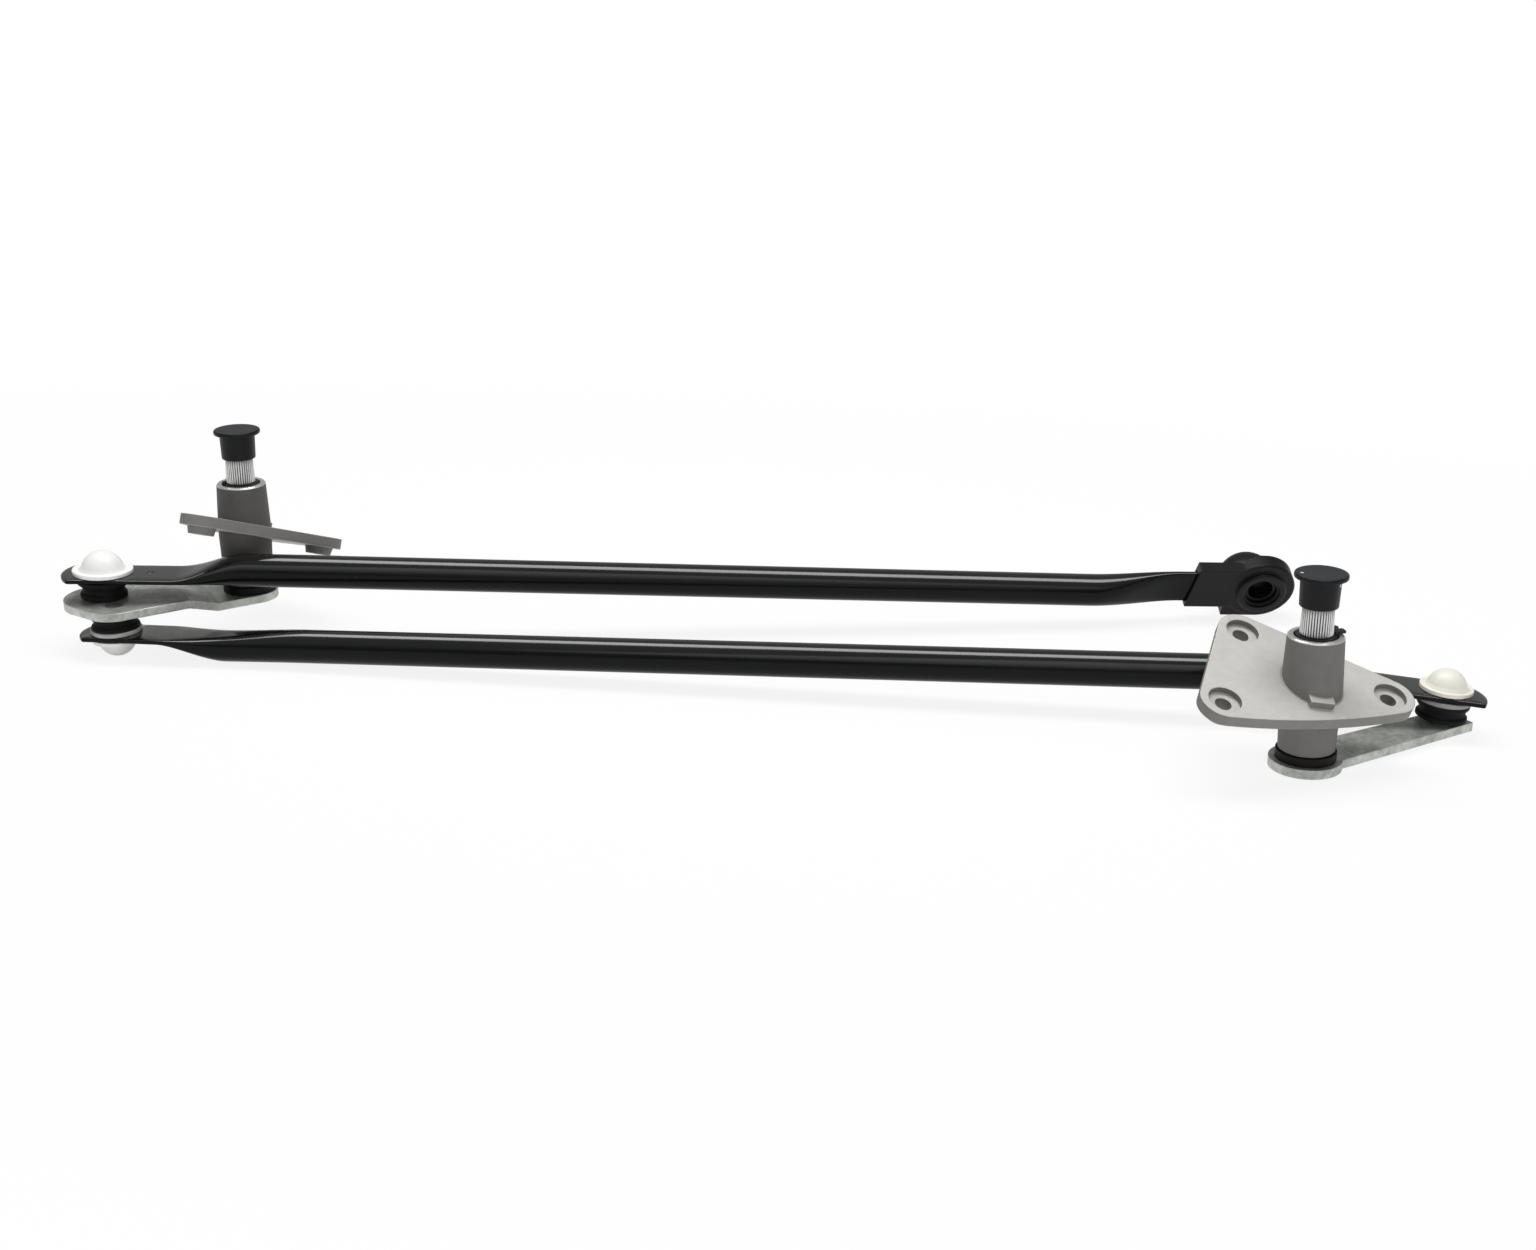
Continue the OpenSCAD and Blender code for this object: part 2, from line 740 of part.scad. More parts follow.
// Pressed with a step, so that its outer end stands higher than its hub
module left_lever() {
    step_start = 20;
    step_end = 34;
    step_lead = 1;
    end_x = 120;
    aim = (upper_stud_angle + lower_stud_angle) / 2;
    color(plated_steel) origin_shift() difference() {
        intersection() {
            three_circle_plate(
                [[0, 0], upper_stud_xy, lower_stud_xy],
                [left_hub_r, upper_eye_r, lower_eye_r],
                tall
            );
            rotate([0, 0, aim])
                translate([0, tall / 2, 0])
                    rotate([90, 0, 0])
                        linear_extrude(tall)
                            polygon([
                                [-end_x, left_lever_z], [step_start, left_lever_z], [step_end, left_end_z],
                                [end_x, left_end_z], [end_x, left_end_z + lever_t],
                                [step_end - step_lead, left_end_z + lever_t],
                                [step_start - step_lead, left_top_z], [-end_x, left_top_z]
                            ]);
        }
        cylinder(r = spigot_r, h = tall);
        for (p = [upper_stud_xy, lower_stud_xy])
            translate(p) cylinder(r = neck_r, h = tall);
    }
}

module left_upper_stud() {
    color(bright_steel) origin_shift() translate(upper_ball)
        ball_stud(drive_ball_r, drive_stud_reach, stud_head_h);
}

module left_lower_stud() {
    color(bright_steel) origin_shift() translate(lower_ball) rotate([180, 0, 0])
        ball_stud(ball_r, lower_stud_reach, 0);
}

// Sub-parts of the right pivot

module right_pivot_housing() {
    color(aluminium) at_right() translate([0, 0, tube_z])
        pivot_housing(right_fall, right_tilt, right_hole_turn, right_lug_turn);
}

module right_bushes() {
    color(bronze) at_right() bush_pair();
}

module right_seal() {
    color(rubber) at_right() dust_seal();
}

module right_shaft() {
    color(bright_steel) at_right() pivot_shaft();
}

module right_clip() {
    color(black_paint) at_right() retaining_clip(45);
}

module right_thrust_ring() {
    color(black_plastic) at_right() thrust_ring();
}

module right_cap() {
    color(black_plastic) at_right() stud_cap();
}

// Round hub and a straight bar with a square end
module right_lever() {
    end = right_lever_len + right_tip;
    color(plated_steel) origin_shift()
        translate([pivot_spacing, 0, right_lever_z]) rotate([0, 0, right_lever_angle]) difference() {
            union() {
                cylinder(r = right_hub_r, h = lever_t);
                linear_extrude(lever_t)
                    polygon([
                        [0, -right_bar_w / 2], [end, -right_tip_w / 2],
                        [end, right_tip_w / 2], [0, right_bar_w / 2]
                    ]);
            }
            translate([0, 0, -cut]) cylinder(r = spigot_r, h = lever_t + 2 * cut);
            translate([right_lever_len, 0, -cut]) cylinder(r = neck_r, h = lever_t + 2 * cut);
        }
}

module right_stud() {
    color(bright_steel) origin_shift() translate(right_ball)
        ball_stud(ball_r, right_stud_reach, stud_head_h);
}

// Upper rod: from the left lever to the motor crank

upper_c0 = [0, 0, upper_tube_rise];
upper_c1 = [0, -motor_tube_drop * sin(motor_roll), -motor_tube_drop * cos(motor_roll)];
motor_flat_c = [0, flat_z * sin(motor_roll), flat_z * cos(motor_roll)];

module upper_rod() {
    color(black_paint) upper_rod_frame() difference() {
        union() {
            rod_tube(upper_span, upper_c0, upper_c1, drive_flat_len + drive_blend_len);
            rod_end(
                0, 1, upper_span, upper_c0, upper_c1, [0, 0, flat_z], drive_flat_w, 0,
                drive_flat_len, drive_blend_len
            );
            rod_tip(drive_tip_r, [drive_tip_x, 0], drive_flat_w);
            rod_end(
                upper_span, -1, upper_span, upper_c0, upper_c1, motor_flat_c, motor_flat_w, -motor_roll
            );
            translate([upper_span, 0, 0]) rotate([-motor_roll, 0, 0])
                translate([0, 0, under_z]) cylinder(r = motor_eye_r, h = flat_t);
        }
        socket_hole(drive_ball_r);
        translate([pilot_x, 0, flat_z - tall / 2]) cylinder(r = pilot_r, h = tall);
        translate([upper_span, 0, 0]) rotate([-motor_roll, 0, 0]) socket_hole(ball_r);
    }
}

module upper_socket() {
    color(nylon) upper_rod_frame()
        ball_socket(drive_ball_r, drive_dome_r, drive_flange_r, drive_ball_r - snap_lip);
}

module upper_boot() {
    color(rubber) upper_rod_frame()
        boot(under_z, boot_gap - drive_stud_reach, drive_boot_r, collar_r(drive_ball_r) + fit_gap);
}

module motor_seat() {
    color(nylon) motor_frame() ball_socket(ball_r, dome_r, flange_r, ball_r + ball_clear);
}

// Moulded cover: sleeve over the rod's flat, round hump behind the ball and ringed opening in front of it
module motor_cover() {
    sleeve_w = motor_flat_w + 2 * cover_wall + 2 * fit_gap;
    sleeve_t = flat_t + 2 * cover_wall + 2 * fit_gap;
    pocket_z = under_z - fit_gap;
    pocket_t = flat_t + 2 * fit_gap;
    color(black_plastic) motor_frame() difference() {
        union() {
            translate([0, 0, flat_z - sleeve_t / 2]) linear_extrude(sleeve_t)
                polygon([
                    [0, -sleeve_w / 2 - sleeve_top], [sleeve_slant - sleeve_len, -sleeve_w / 2 - sleeve_top],
                    [-sleeve_len, sleeve_w / 2], [0, sleeve_w / 2]
                ]);
            rotate_extrude()
                polygon([
                    [0, -cup_depth], [cup_r - cover_chamfer, -cup_depth],
                    [cup_r, -cup_depth + cover_chamfer],
                    [cup_r, -cover_front], [cover_r - cover_chamfer, -cover_front],
                    [cover_r, -cover_front + cover_chamfer], [cover_r, cover_back], [0, cover_back]
                ]);
            translate([crown_x, 0, cover_back]) cylinder(r1 = crown_r, r2 = crown_top_r, h = crown_h);
            translate([-cover_r, 0, cover_chamfer - cover_front])
                cube([cover_r, cover_r, cover_front - cover_chamfer + cover_back]);
            difference() {
                translate([-hump_x, 0, hump_z]) sphere(r = hump_r);
                translate([0, 0, flat_z - tall]) cylinder(r = tall, h = tall);
            }
        }
        translate([-sleeve_len - cut, -motor_flat_w / 2 - fit_gap, pocket_z])
            cube([sleeve_len + cut, motor_flat_w + 2 * fit_gap, pocket_t]);
        translate([0, 0, pocket_z]) cylinder(r = motor_eye_r + fit_gap, h = pocket_t);
        translate([0, 0, flat_z]) cylinder(r = flange_r + fit_gap, h = flat_t / 2 + flange_t + fit_gap);
        sphere(r = dome_r + fit_gap);
        cylinder(r = dome_r + dome_fillet + fit_gap, h = seat_z + flange_t + 2 * dome_fillet);
        translate([0, 0, collar_z - fit_gap]) cylinder(r = collar_r(ball_r) + fit_gap, h = flat_t);
        translate([0, 0, -tall]) cylinder(r = cup_mouth_r, h = tall);
        translate([0, 0, -cup_depth - cut]) cylinder(r = cup_r - ring_wall, h = ring_sink + cut);
    }
}

// Lower rod: from the left lever to the right lever

lower_c0 = [0, 0, lower_left_rise];
lower_c1 = [0, 0, lower_right_rise];

module lower_rod() {
    color(black_paint) lower_rod_frame() difference() {
        union() {
            rod_tube(lower_span, lower_c0, lower_c1);
            rod_end(0, 1, lower_span, lower_c0, lower_c1, [0, 0, -flat_z], flat_w, 0);
            rotate([180, 0, 0]) rod_tip(left_tip_r, [left_tip_x, 0]);
            rod_end(
                lower_span, -1, lower_span, lower_c0, lower_c1, [0, 0, flat_z], flat_w, 0,
                flat_len, blend_len,
                right_pitch
            );
            translate([lower_span, 0, 0]) rotate([0, right_pitch, 0]) rotate([0, 0, 180])
                rod_tip(right_tip_r, [0, right_tip_y]);
        }
        socket_hole(ball_r);
        translate([lower_span, 0, 0]) rotate([0, right_pitch, 0]) socket_hole(ball_r);
    }
}

module lower_left_socket() {
    color(nylon) lower_rod_frame() rotate([180, 0, 0])
        ball_socket(ball_r, dome_r, flange_r, ball_r - snap_lip, lip_r);
}

module lower_left_boot() {
    color(rubber) lower_rod_frame() rotate([180, 0, 0])
        boot(under_z - lip_t, boot_gap - lower_stud_reach, lip_r - boot_inset, collar_r(ball_r));
}

module lower_right_socket() {
    color(nylon) right_end_frame() ball_socket(ball_r, dome_r, flange_r, ball_r - snap_lip, lip_r);
}

module lower_right_boot() {
    color(rubber) right_end_frame()
        boot(under_z - lip_t, right_boot_gap - right_stud_reach, lip_r - boot_inset, collar_r(ball_r));
}

left_pivot_housing();
left_bushes();
left_seal();
left_shaft();
left_clip();
left_thrust_ring();
left_cap();
left_lever();
left_upper_stud();
left_lower_stud();
right_pivot_housing();
right_bushes();
right_seal();
right_shaft();
right_clip();
right_thrust_ring();
right_cap();
right_lever();
right_stud();
upper_rod();
upper_socket();
upper_boot();
motor_cover();
motor_seat();
lower_rod();
lower_left_socket();
lower_left_boot();
lower_right_socket();
lower_right_boot();
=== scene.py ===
"""Wiper linkage: smooth rods, sockets, boots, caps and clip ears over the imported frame.

The script also gives every piece its finish and sets the table, the light and the camera of the photograph.
"""

from __future__ import annotations

import json
import logging
import math
from abc import ABC, abstractmethod
from dataclasses import dataclass, field
from enum import Enum
from typing import Any, Optional, Sequence, Union

import bpy
import numpy as np
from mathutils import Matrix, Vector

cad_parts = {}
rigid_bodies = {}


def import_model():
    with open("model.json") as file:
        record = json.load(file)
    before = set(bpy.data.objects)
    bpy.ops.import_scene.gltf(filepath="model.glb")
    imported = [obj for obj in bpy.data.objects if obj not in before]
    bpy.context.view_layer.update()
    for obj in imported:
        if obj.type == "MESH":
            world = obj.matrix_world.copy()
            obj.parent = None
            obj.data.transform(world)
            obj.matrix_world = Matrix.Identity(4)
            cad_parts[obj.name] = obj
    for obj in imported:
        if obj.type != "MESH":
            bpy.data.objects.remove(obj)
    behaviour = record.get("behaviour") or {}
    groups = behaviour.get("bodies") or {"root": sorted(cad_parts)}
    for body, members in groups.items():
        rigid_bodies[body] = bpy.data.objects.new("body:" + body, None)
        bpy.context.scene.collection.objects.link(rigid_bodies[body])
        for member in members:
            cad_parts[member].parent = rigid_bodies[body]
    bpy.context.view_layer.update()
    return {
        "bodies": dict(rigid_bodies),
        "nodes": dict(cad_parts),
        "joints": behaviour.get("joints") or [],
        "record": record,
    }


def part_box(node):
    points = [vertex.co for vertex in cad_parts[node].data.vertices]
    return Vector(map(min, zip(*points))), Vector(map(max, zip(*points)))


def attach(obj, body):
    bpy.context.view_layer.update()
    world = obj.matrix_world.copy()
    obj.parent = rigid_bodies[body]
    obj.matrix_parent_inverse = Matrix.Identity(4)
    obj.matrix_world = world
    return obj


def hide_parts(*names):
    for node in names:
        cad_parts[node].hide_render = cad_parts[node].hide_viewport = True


LOG = logging.getLogger("wiper_linkage")
MM = 0.001
MERGE_DIGITS = 7  # points that agree to this many digits of a metre are one
TINY = 1e-6  # lengths and directions below this count as none
Colour = tuple[float, float, float]
Point = tuple[float, float, float]


class Body(Enum):
    """The bodies that the new pieces ride on."""

    LEFT_CAP = "left_cap_body"
    RIGHT_CAP = "right_cap_body"
    UPPER_ROD = "upper_rod_body"
    LOWER_ROD = "lower_rod_body"
    RIGHT_CRANK = "right_crank_body"


# Surfaces


@dataclass(frozen=True)
class Place:
    """A right-handed frame in the part: an origin in metres and three unit axes as rows."""

    origin: np.ndarray
    axes: np.ndarray

    def put(self, local_mm: np.ndarray) -> np.ndarray:
        """Turns points in millimetres in this frame into points in metres in the part."""
        return self.origin + (local_mm * MM) @ self.axes

    def moved(self, along_mm: Sequence[float]) -> "Place":
        """The same frame with its origin moved by a vector in its own millimetres."""
        return Place(self.put(np.asarray(along_mm, float)), self.axes)

    def rolled(self, degrees: float) -> "Place":
        """The frame turned about its own X axis."""
        c, s = math.cos(math.radians(degrees)), math.sin(math.radians(degrees))
        return Place(self.origin, np.array([[1, 0, 0], [0, c, s], [0, -s, c]]) @ self.axes)

    def pitched(self, degrees: float) -> "Place":
        """The frame turned about its own Y axis, so that +X dips for a positive angle."""
        c, s = math.cos(math.radians(degrees)), math.sin(math.radians(degrees))
        return Place(self.origin, np.array([[c, 0, -s], [0, 1, 0], [s, 0, c]]) @ self.axes)

    @staticmethod
    def between(start: np.ndarray, end: np.ndarray) -> "Place":
        """A frame at start whose X runs to end and whose Y is level.

        Args:
            start: origin in metres.
            end: point that X aims at.

        Returns:
            The frame.
        """
        x = (end - start) / np.linalg.norm(end - start)
        y = np.cross([0.0, 0.0, 1.0], x)
        y /= np.linalg.norm(y)
        return Place(start, np.array([x, y, np.cross(x, y)]))

    @staticmethod
    def upright(origin: Sequence[float]) -> "Place":
        """The part's own axes at a point in metres."""
        return Place(np.asarray(origin, float), np.eye(3))


def ease(t: np.ndarray) -> np.ndarray:
    """Smooth step from 0 to 1: three t squared less two t cubed."""
    t = np.clip(t, 0.0, 1.0)
    return t * t * (3.0 - 2.0 * t)


def grid_quads(rows: int, cols: int, wrap_rows: bool, wrap_cols: bool) -> np.ndarray:
    """Quads of a grid of points stored row by row.

    Args:
        rows: number of rows.
        cols: number of points in a row.
        wrap_rows: joins the last row to the first.
        wrap_cols: joins the last column to the first.

    Returns:
        An array of four indices per quad.
    """
    i = np.arange(rows if wrap_rows else rows - 1)[:, None]
    j = np.arange(cols if wrap_cols else cols - 1)[None, :]
    i2, j2 = (i + 1) % rows, (j + 1) % cols
    return np.stack([i * cols + j, i * cols + j2, i2 * cols + j2, i2 * cols + j], -1).reshape(-1, 4)


def outward(points: np.ndarray, quads: np.ndarray) -> np.ndarray:
    """Turns the quads round if the closed surface has a negative volume.

    The volume is a sixth of the sum, over both triangles of each quad, of a dot (b cross c).

    Args:
        points: the surface's points.
        quads: four indices per face.

    Returns:
        The quads with their front sides outward.
    """
    a, b, c, d = (points[quads[:, k]] - points.mean(0) for k in range(4))
    volume = np.einsum("ij,ij->", a, np.cross(b, c)) + np.einsum("ij,ij->", a, np.cross(c, d))
    return quads if volume > 0 else quads[:, ::-1]


def make_object(name: str, points: np.ndarray, quads: np.ndarray) -> bpy.types.Object:
    """Puts a surface into a new smooth object, with doubled points merged and empty faces dropped.

    Args:
        name: the piece's name.
        points: points in metres.
        quads: four indices per face.

    Returns:
        The object, at the origin.
    """
    keys, back = np.unique(np.round(points, MERGE_DIGITS), axis=0, return_inverse=True)
    back = back.reshape(-1)
    first = np.zeros(len(keys), int)
    first[back] = np.arange(len(points))
    turned = back[outward(points, quads)]
    keep = turned != np.roll(turned, -1, axis=1)
    corners = keep.sum(1)
    triangles = turned[corners == 3][keep[corners == 3]].reshape(-1, 3)
    mesh = bpy.data.meshes.new(name)
    mesh.from_pydata(points[first].tolist(), [], turned[corners == 4].tolist() + triangles.tolist())
    mesh.polygons.foreach_set("use_smooth", np.ones(len(mesh.polygons), bool))
    mesh.update()
    piece = bpy.data.objects.new(name, mesh)
    bpy.context.scene.collection.objects.link(piece)
    return piece


def rounded(
    corners: Sequence[Sequence[float]], radii: Sequence[float], closed: bool, steps: int = 6
) -> np.ndarray:
    """A polyline with its corners rounded.

    Each corner becomes a quadratic curve between two points that lie its radius away along both sides, and
    each straight side keeps two more points near its ends, so that flat faces shade flat.

    Args:
        corners: corner points.
        radii: rounding at each corner, 0 for a sharp one.
        closed: whether the last corner joins the first.
        steps: pieces of each rounding.

    Returns:
        The points of the rounded line.
    """
    side_points, most_of_side = np.array([0.07, 0.93]), 0.45
    p = np.asarray(corners, float)
    before, after = np.roll(p, 1, 0) - p, np.roll(p, -1, 0) - p
    back, ahead = np.linalg.norm(before, axis=1), np.linalg.norm(after, axis=1)
    reach = np.minimum(np.asarray(radii, float), most_of_side * np.minimum(back, ahead))
    if not closed:
        reach[[0, -1]] = 0.0
    start = p + before / back[:, None] * reach[:, None]
    end = p + after / ahead[:, None] * reach[:, None]
    t = np.linspace(0, 1, steps + 1)[None, :, None]
    arcs = (1 - t) ** 2 * start[:, None] + 2 * t * (1 - t) * p[:, None] + t * t * end[:, None]
    side = np.roll(start, -1, 0) - end
    support = end[:, None] + side[:, None] * side_points[None, :, None]
    line = np.concatenate([arcs, support], 1).reshape(-1, 2)
    if not closed:
        line = line[:-2]
    before_first = line[-1:] if closed else line[:1] - 1
    return line[np.linalg.norm(np.diff(line, axis=0, prepend=before_first), axis=1) > TINY]


def revolve(
    name: str, place: Place, profile: np.ndarray, closed: bool, around: int = 128
) -> bpy.types.Object:
    """Turns a profile of (radius, height) in millimetres about the place's Z axis.

    A point is radius times (cos a, sin a), with its height kept.

    Args:
        name: the piece's name.
        place: where the axis stands.
        profile: points of the profile.
        closed: whether the profile is a loop that stays off the axis.
        around: points round the axis.

    Returns:
        The piece.
    """
    a = np.linspace(0, 2 * math.pi, around, endpoint=False)
    r, z = profile[:, :1], profile[:, 1:]
    local = np.stack([r * np.cos(a), r * np.sin(a), np.broadcast_to(z, (len(profile), around))], -1)
    quads = grid_quads(len(profile), around, closed, True)
    return make_object(name, place.put(local.reshape(-1, 3)), quads)


def arc(radius: float, start: float, end: float, count: int) -> np.ndarray:
    """Points on a circle about the origin between two angles in degrees, as (radius, height)."""
    a = np.radians(np.linspace(start, end, count))
    return radius * np.stack([np.cos(a), np.sin(a)], 1)


# Shader expressions

Value = Union["Sock", float, Colour, Sequence[float]]


class Sock:
    """A shader socket that can be used in Python sums and products."""

    def __init__(self, tree: "Tree", socket: Any) -> None:
        """Keeps the tree and one of its sockets."""
        self.tree = tree
        self.socket = socket

    def math(self, operation: str, a: Value, b: Value = 0.0) -> "Sock":
        """A Math node on two values."""
        return self.tree.node("ShaderNodeMath", {"operation": operation}, {0: a, 1: b})

    def __add__(self, other: Value) -> "Sock":
        """Sum."""
        return self.math("ADD", self, other)

    def __radd__(self, other: Value) -> "Sock":
        """Sum with a number in front."""
        return self.math("ADD", other, self)

    def __sub__(self, other: Value) -> "Sock":
        """Difference."""
        return self.math("SUBTRACT", self, other)

    def __rsub__(self, other: Value) -> "Sock":
        """Difference from a number in front."""
        return self.math("SUBTRACT", other, self)

    def __mul__(self, other: Value) -> "Sock":
        """Product."""
        return self.math("MULTIPLY", self, other)

    def __rmul__(self, other: Value) -> "Sock":
        """Product with a number in front."""
        return self.math("MULTIPLY", other, self)

    def __abs__(self) -> "Sock":
        """Size without its sign."""
        return self.math("ABSOLUTE", self)

    def step(self, low: float, high: float) -> "Sock":
        """Smooth step of the value.

        Args:
            low: the value that gives 0; it may be the greater one.
            high: the value that gives 1.

        Returns:
            A value from 0 to 1.
        """
        if low > high:
            return 1.0 - self.step(high, low)
        ends = {0: self, 1: low, 2: high, 3: 0.0, 4: 1.0}
        return self.tree.node("ShaderNodeMapRange", {"interpolation_type": "SMOOTHSTEP"}, ends)


class Tree:
    """One material's nodes, made through a single method."""

    def __init__(self, name: str) -> None:
        """Starts an empty material.

        Args:
            name: the material's name.
        """
        self.material = bpy.data.materials.new(name)
        self.material.use_nodes = True
        self.tree = self.material.node_tree
        self.tree.nodes.clear()
        self.coords = self.node("ShaderNodeTexCoord", {}, {}, "Object")

    def node(
        self, kind: str, settings: dict[str, Any], inputs: dict[Any, Value], out: Union[int, str] = 0
    ) -> Sock:
        """Makes a node.

        Args:
            kind: the node's type.
            settings: its own properties, set first.
            inputs: values or links of its sockets, by name or number.
            out: the output that is wanted.

        Returns:
            That output.
        """
        made = self.tree.nodes.new(kind)
        for key, value in settings.items():
            setattr(made, key, value)
        for key, value in inputs.items():
            target = made.inputs[key]
            if isinstance(value, Sock):
                self.tree.links.new(value.socket, target)
            elif isinstance(value, (int, float)):
                target.default_value = value
            else:
                wanted = len(target.default_value)
                target.default_value = (tuple(value) + (1.0,))[:wanted]
        return Sock(self, made.outputs[out] if len(made.outputs) else None)

    def noise(
        self, scale: float, detail: float = 4.0, vector: Optional[Sock] = None, rough: float = 0.5
    ) -> Sock:
        """Noise from 0 to 1 with this many waves to the metre."""
        inputs = {"Vector": vector or self.coords, "Scale": scale, "Detail": detail, "Roughness": rough}
        return self.node("ShaderNodeTexNoise", {}, inputs)

    def cells(self, scale: float) -> Sock:
        """Distance to the nearest of scattered points, in cells."""
        return self.node("ShaderNodeTexVoronoi", {}, {"Vector": self.coords, "Scale": scale})

    def colour(self, mask: Value, low: Value, high: Value) -> Sock:
        """A colour between two others."""
        return self.node("ShaderNodeMix", {"data_type": "RGBA"}, {0: mask, 6: low, 7: high}, 2)

    def shade(self, colour: Value, factor: Sock) -> Sock:
        """A colour times a number."""
        grey = self.node("ShaderNodeCombineXYZ", {}, {0: factor, 1: factor, 2: factor})
        settings = {"data_type": "RGBA", "blend_type": "MULTIPLY"}
        return self.node("ShaderNodeMix", settings, {0: 1.0, 6: colour, 7: grey}, 2)

    def split(self, vector: Sock, axis: str) -> Sock:
        """One part of a vector."""
        return self.node("ShaderNodeSeparateXYZ", {}, {0: vector}, axis)

    def facing_up(self) -> Sock:
        """The Z part of the face's normal, 1 where it looks straight up."""
        return self.split(self.node("ShaderNodeTexCoord", {}, {}, "Normal"), "Z")

    def vector(self, operation: str, a: Value, b: Value, out: Union[int, str] = 0) -> Sock:
        """A Vector Math node on two values."""
        return self.node("ShaderNodeVectorMath", {"operation": operation}, {0: a, 1: b}, out)

    def apart(self, point: Sequence[float], kept: Sequence[float] = (1.0, 1.0, 1.0)) -> Sock:
        """Distance in metres from a point.

        Args:
            point: the point in metres.
            kept: how much each axis counts, 0 for one that is left out.

        Returns:
            The distance.
        """
        offset = self.vector("MULTIPLY", self.vector("SUBTRACT", self.coords, point), kept)
        return self.vector("LENGTH", offset, (0.0, 0.0, 0.0), "Value")

    def soft_normal(self, radius: float) -> Sock:
        """Normals that round the edges by a radius in metres."""
        return self.node("ShaderNodeBevel", {"samples": 6}, {"Radius": radius})

    def edges(self, soft: Sock) -> Sock:
        """How far the rounded normal leans from the face's own, 1 along sharp edges."""
        own = self.node("ShaderNodeNewGeometry", {}, {}, "True Normal")
        return (1.0 - self.vector("DOT_PRODUCT", soft, own, "Value")).step(0.02, 0.25)

    def bump(
        self, height: Value, strength: float, distance: float, normal: Optional[Sock] = None
    ) -> Sock:
        """A bumped normal.

        Args:
            height: the bump's height.
            strength: its share, from 0 to 1.
            distance: the height in metres that a value of 1 stands for.
            normal: the normal that is bumped, or the surface's own.

        Returns:
            The normal.
        """
        inputs: dict[Any, Value] = {"Height": height, "Strength": strength, "Distance": distance}
        if normal is not None:
            inputs["Normal"] = normal
        return self.node("ShaderNodeBump", {}, inputs)

    def finish(self, **sockets: Value) -> bpy.types.Material:
        """Ends the material with a Principled shader.

        Args:
            sockets: the shader's inputs by name, with spaces as underscores.

        Returns:
            The material.
        """
        named = {key.replace("_", " "): value for key, value in sockets.items()}
        shader = self.node("ShaderNodeBsdfPrincipled", {}, named)
        self.node("ShaderNodeOutputMaterial", {}, {0: shader})
        return self.material


# Finishes


@dataclass(frozen=True)
class Finish(ABC):
    """A named finish that builds its own material."""

    name: str

    @abstractmethod
    def material(self) -> bpy.types.Material:
        """Builds the material."""


@dataclass(frozen=True)
class CastAluminium(Finish):
    """Die-cast skin: pale and mottled on the plate, painted shade darkening its walls and tube, bright at the
    turned mouth.
    """

    axis: Point
    mouth_z: float
    plate: Colour = (0.57, 0.562, 0.535)
    # wall: the darker colour of painted shade on faces that are not level and on the tube; pits and scratches
    # take it too
    wall: Colour = (0.21, 0.205, 0.195)
    edge: Colour = (0.66, 0.655, 0.63)
    turned: Colour = (0.85, 0.85, 0.84)
    tube_r: float = 12.9 * MM
    # tube_shade: how much of its mottled tone the tube keeps, a painted shade below 1
    tube_shade: float = 1.0

    def material(self) -> bpy.types.Material:
        """Builds the material.

        Returns:
            The material.
        """
        t = Tree(self.name)
        soft = t.soft_normal(0.8 * MM)
        level = abs(t.facing_up()).step(0.3, 0.8)
        tube = t.apart(self.axis, (1.0, 1.0, 0.0)).step(self.tube_r + 0.6 * MM, self.tube_r)
        skin = t.noise(260.0, 5.0)
        grain = t.noise(1500.0, 3.0)
        stain = t.noise(60.0, 3.0)
        pits = t.cells(420.0).step(0.12, 0.06) * t.noise(90.0, 2.0).step(0.54, 0.62)
        along = {"Vector": t.coords, "Rotation": (0.2, 0.3, 0.9), "Scale": (40.0, 900.0, 300.0)}
        scratch = t.noise(1.0, 2.0, t.node("ShaderNodeMapping", {}, along)).step(0.69, 0.74)
        worn = t.edges(soft)
        # Painted shade: faces that are not level, and half the tube, take the darker wall colour.
        base = t.colour(level * (1.0 - tube * 0.5), self.wall, self.plate)
        mottle = 0.84 + skin * 0.2 + stain * 0.14
        # Painted shade on the tube, deeper as tube_shade falls.
        base = t.shade(base, mottle * (1.0 - tube * (1.0 - self.tube_shade)))
        base = t.colour(worn * 0.55, base, self.edge)
        base = t.colour(pits * 0.7 + scratch * 0.22, base, self.wall)
        mouth = t.split(t.coords, "Z").step(self.mouth_z - 0.9 * MM, self.mouth_z - 0.55 * MM)
        base = t.colour(mouth, base, self.turned)
        return t.finish(
            Base_Color=base,
            Metallic=0.3 + mouth * 0.65,
            Roughness=0.6 - mouth * 0.34 + grain * 0.12 - worn * 0.12,
            Normal=t.bump(grain * 0.6 + skin - pits, 0.26, 0.25 * MM, soft),
        )


@dataclass(frozen=True)
class PlatedSteel(Finish):
    """Zinc-plated sheet: blotchy grey-green with brighter edges and fine specks."""

    dull: Colour = (0.33, 0.345, 0.32)
    clear: Colour = (0.66, 0.675, 0.635)
    bright: Colour = (0.80, 0.81, 0.78)

    def material(self) -> bpy.types.Material:
        """Builds the material.

        Returns:
            The material.
        """
        t = Tree(self.name)
        soft = t.soft_normal(0.7 * MM)
        blotch = t.noise(75.0, 7.0, rough=0.68)
        speck = t.noise(420.0, 4.0)
        worn = t.edges(soft)
        base = t.colour((blotch * 0.75 + speck * 0.35).step(0.34, 0.74), self.dull, self.clear)
        base = t.colour(worn * 0.9, base, self.bright)
        return t.finish(
            Base_Color=base,
            Metallic=0.82,
            Roughness=0.55 - blotch * 0.16 - worn * 0.12,
            Normal=t.bump(speck + blotch * 0.4, 0.18, 0.2 * MM, soft),
        )


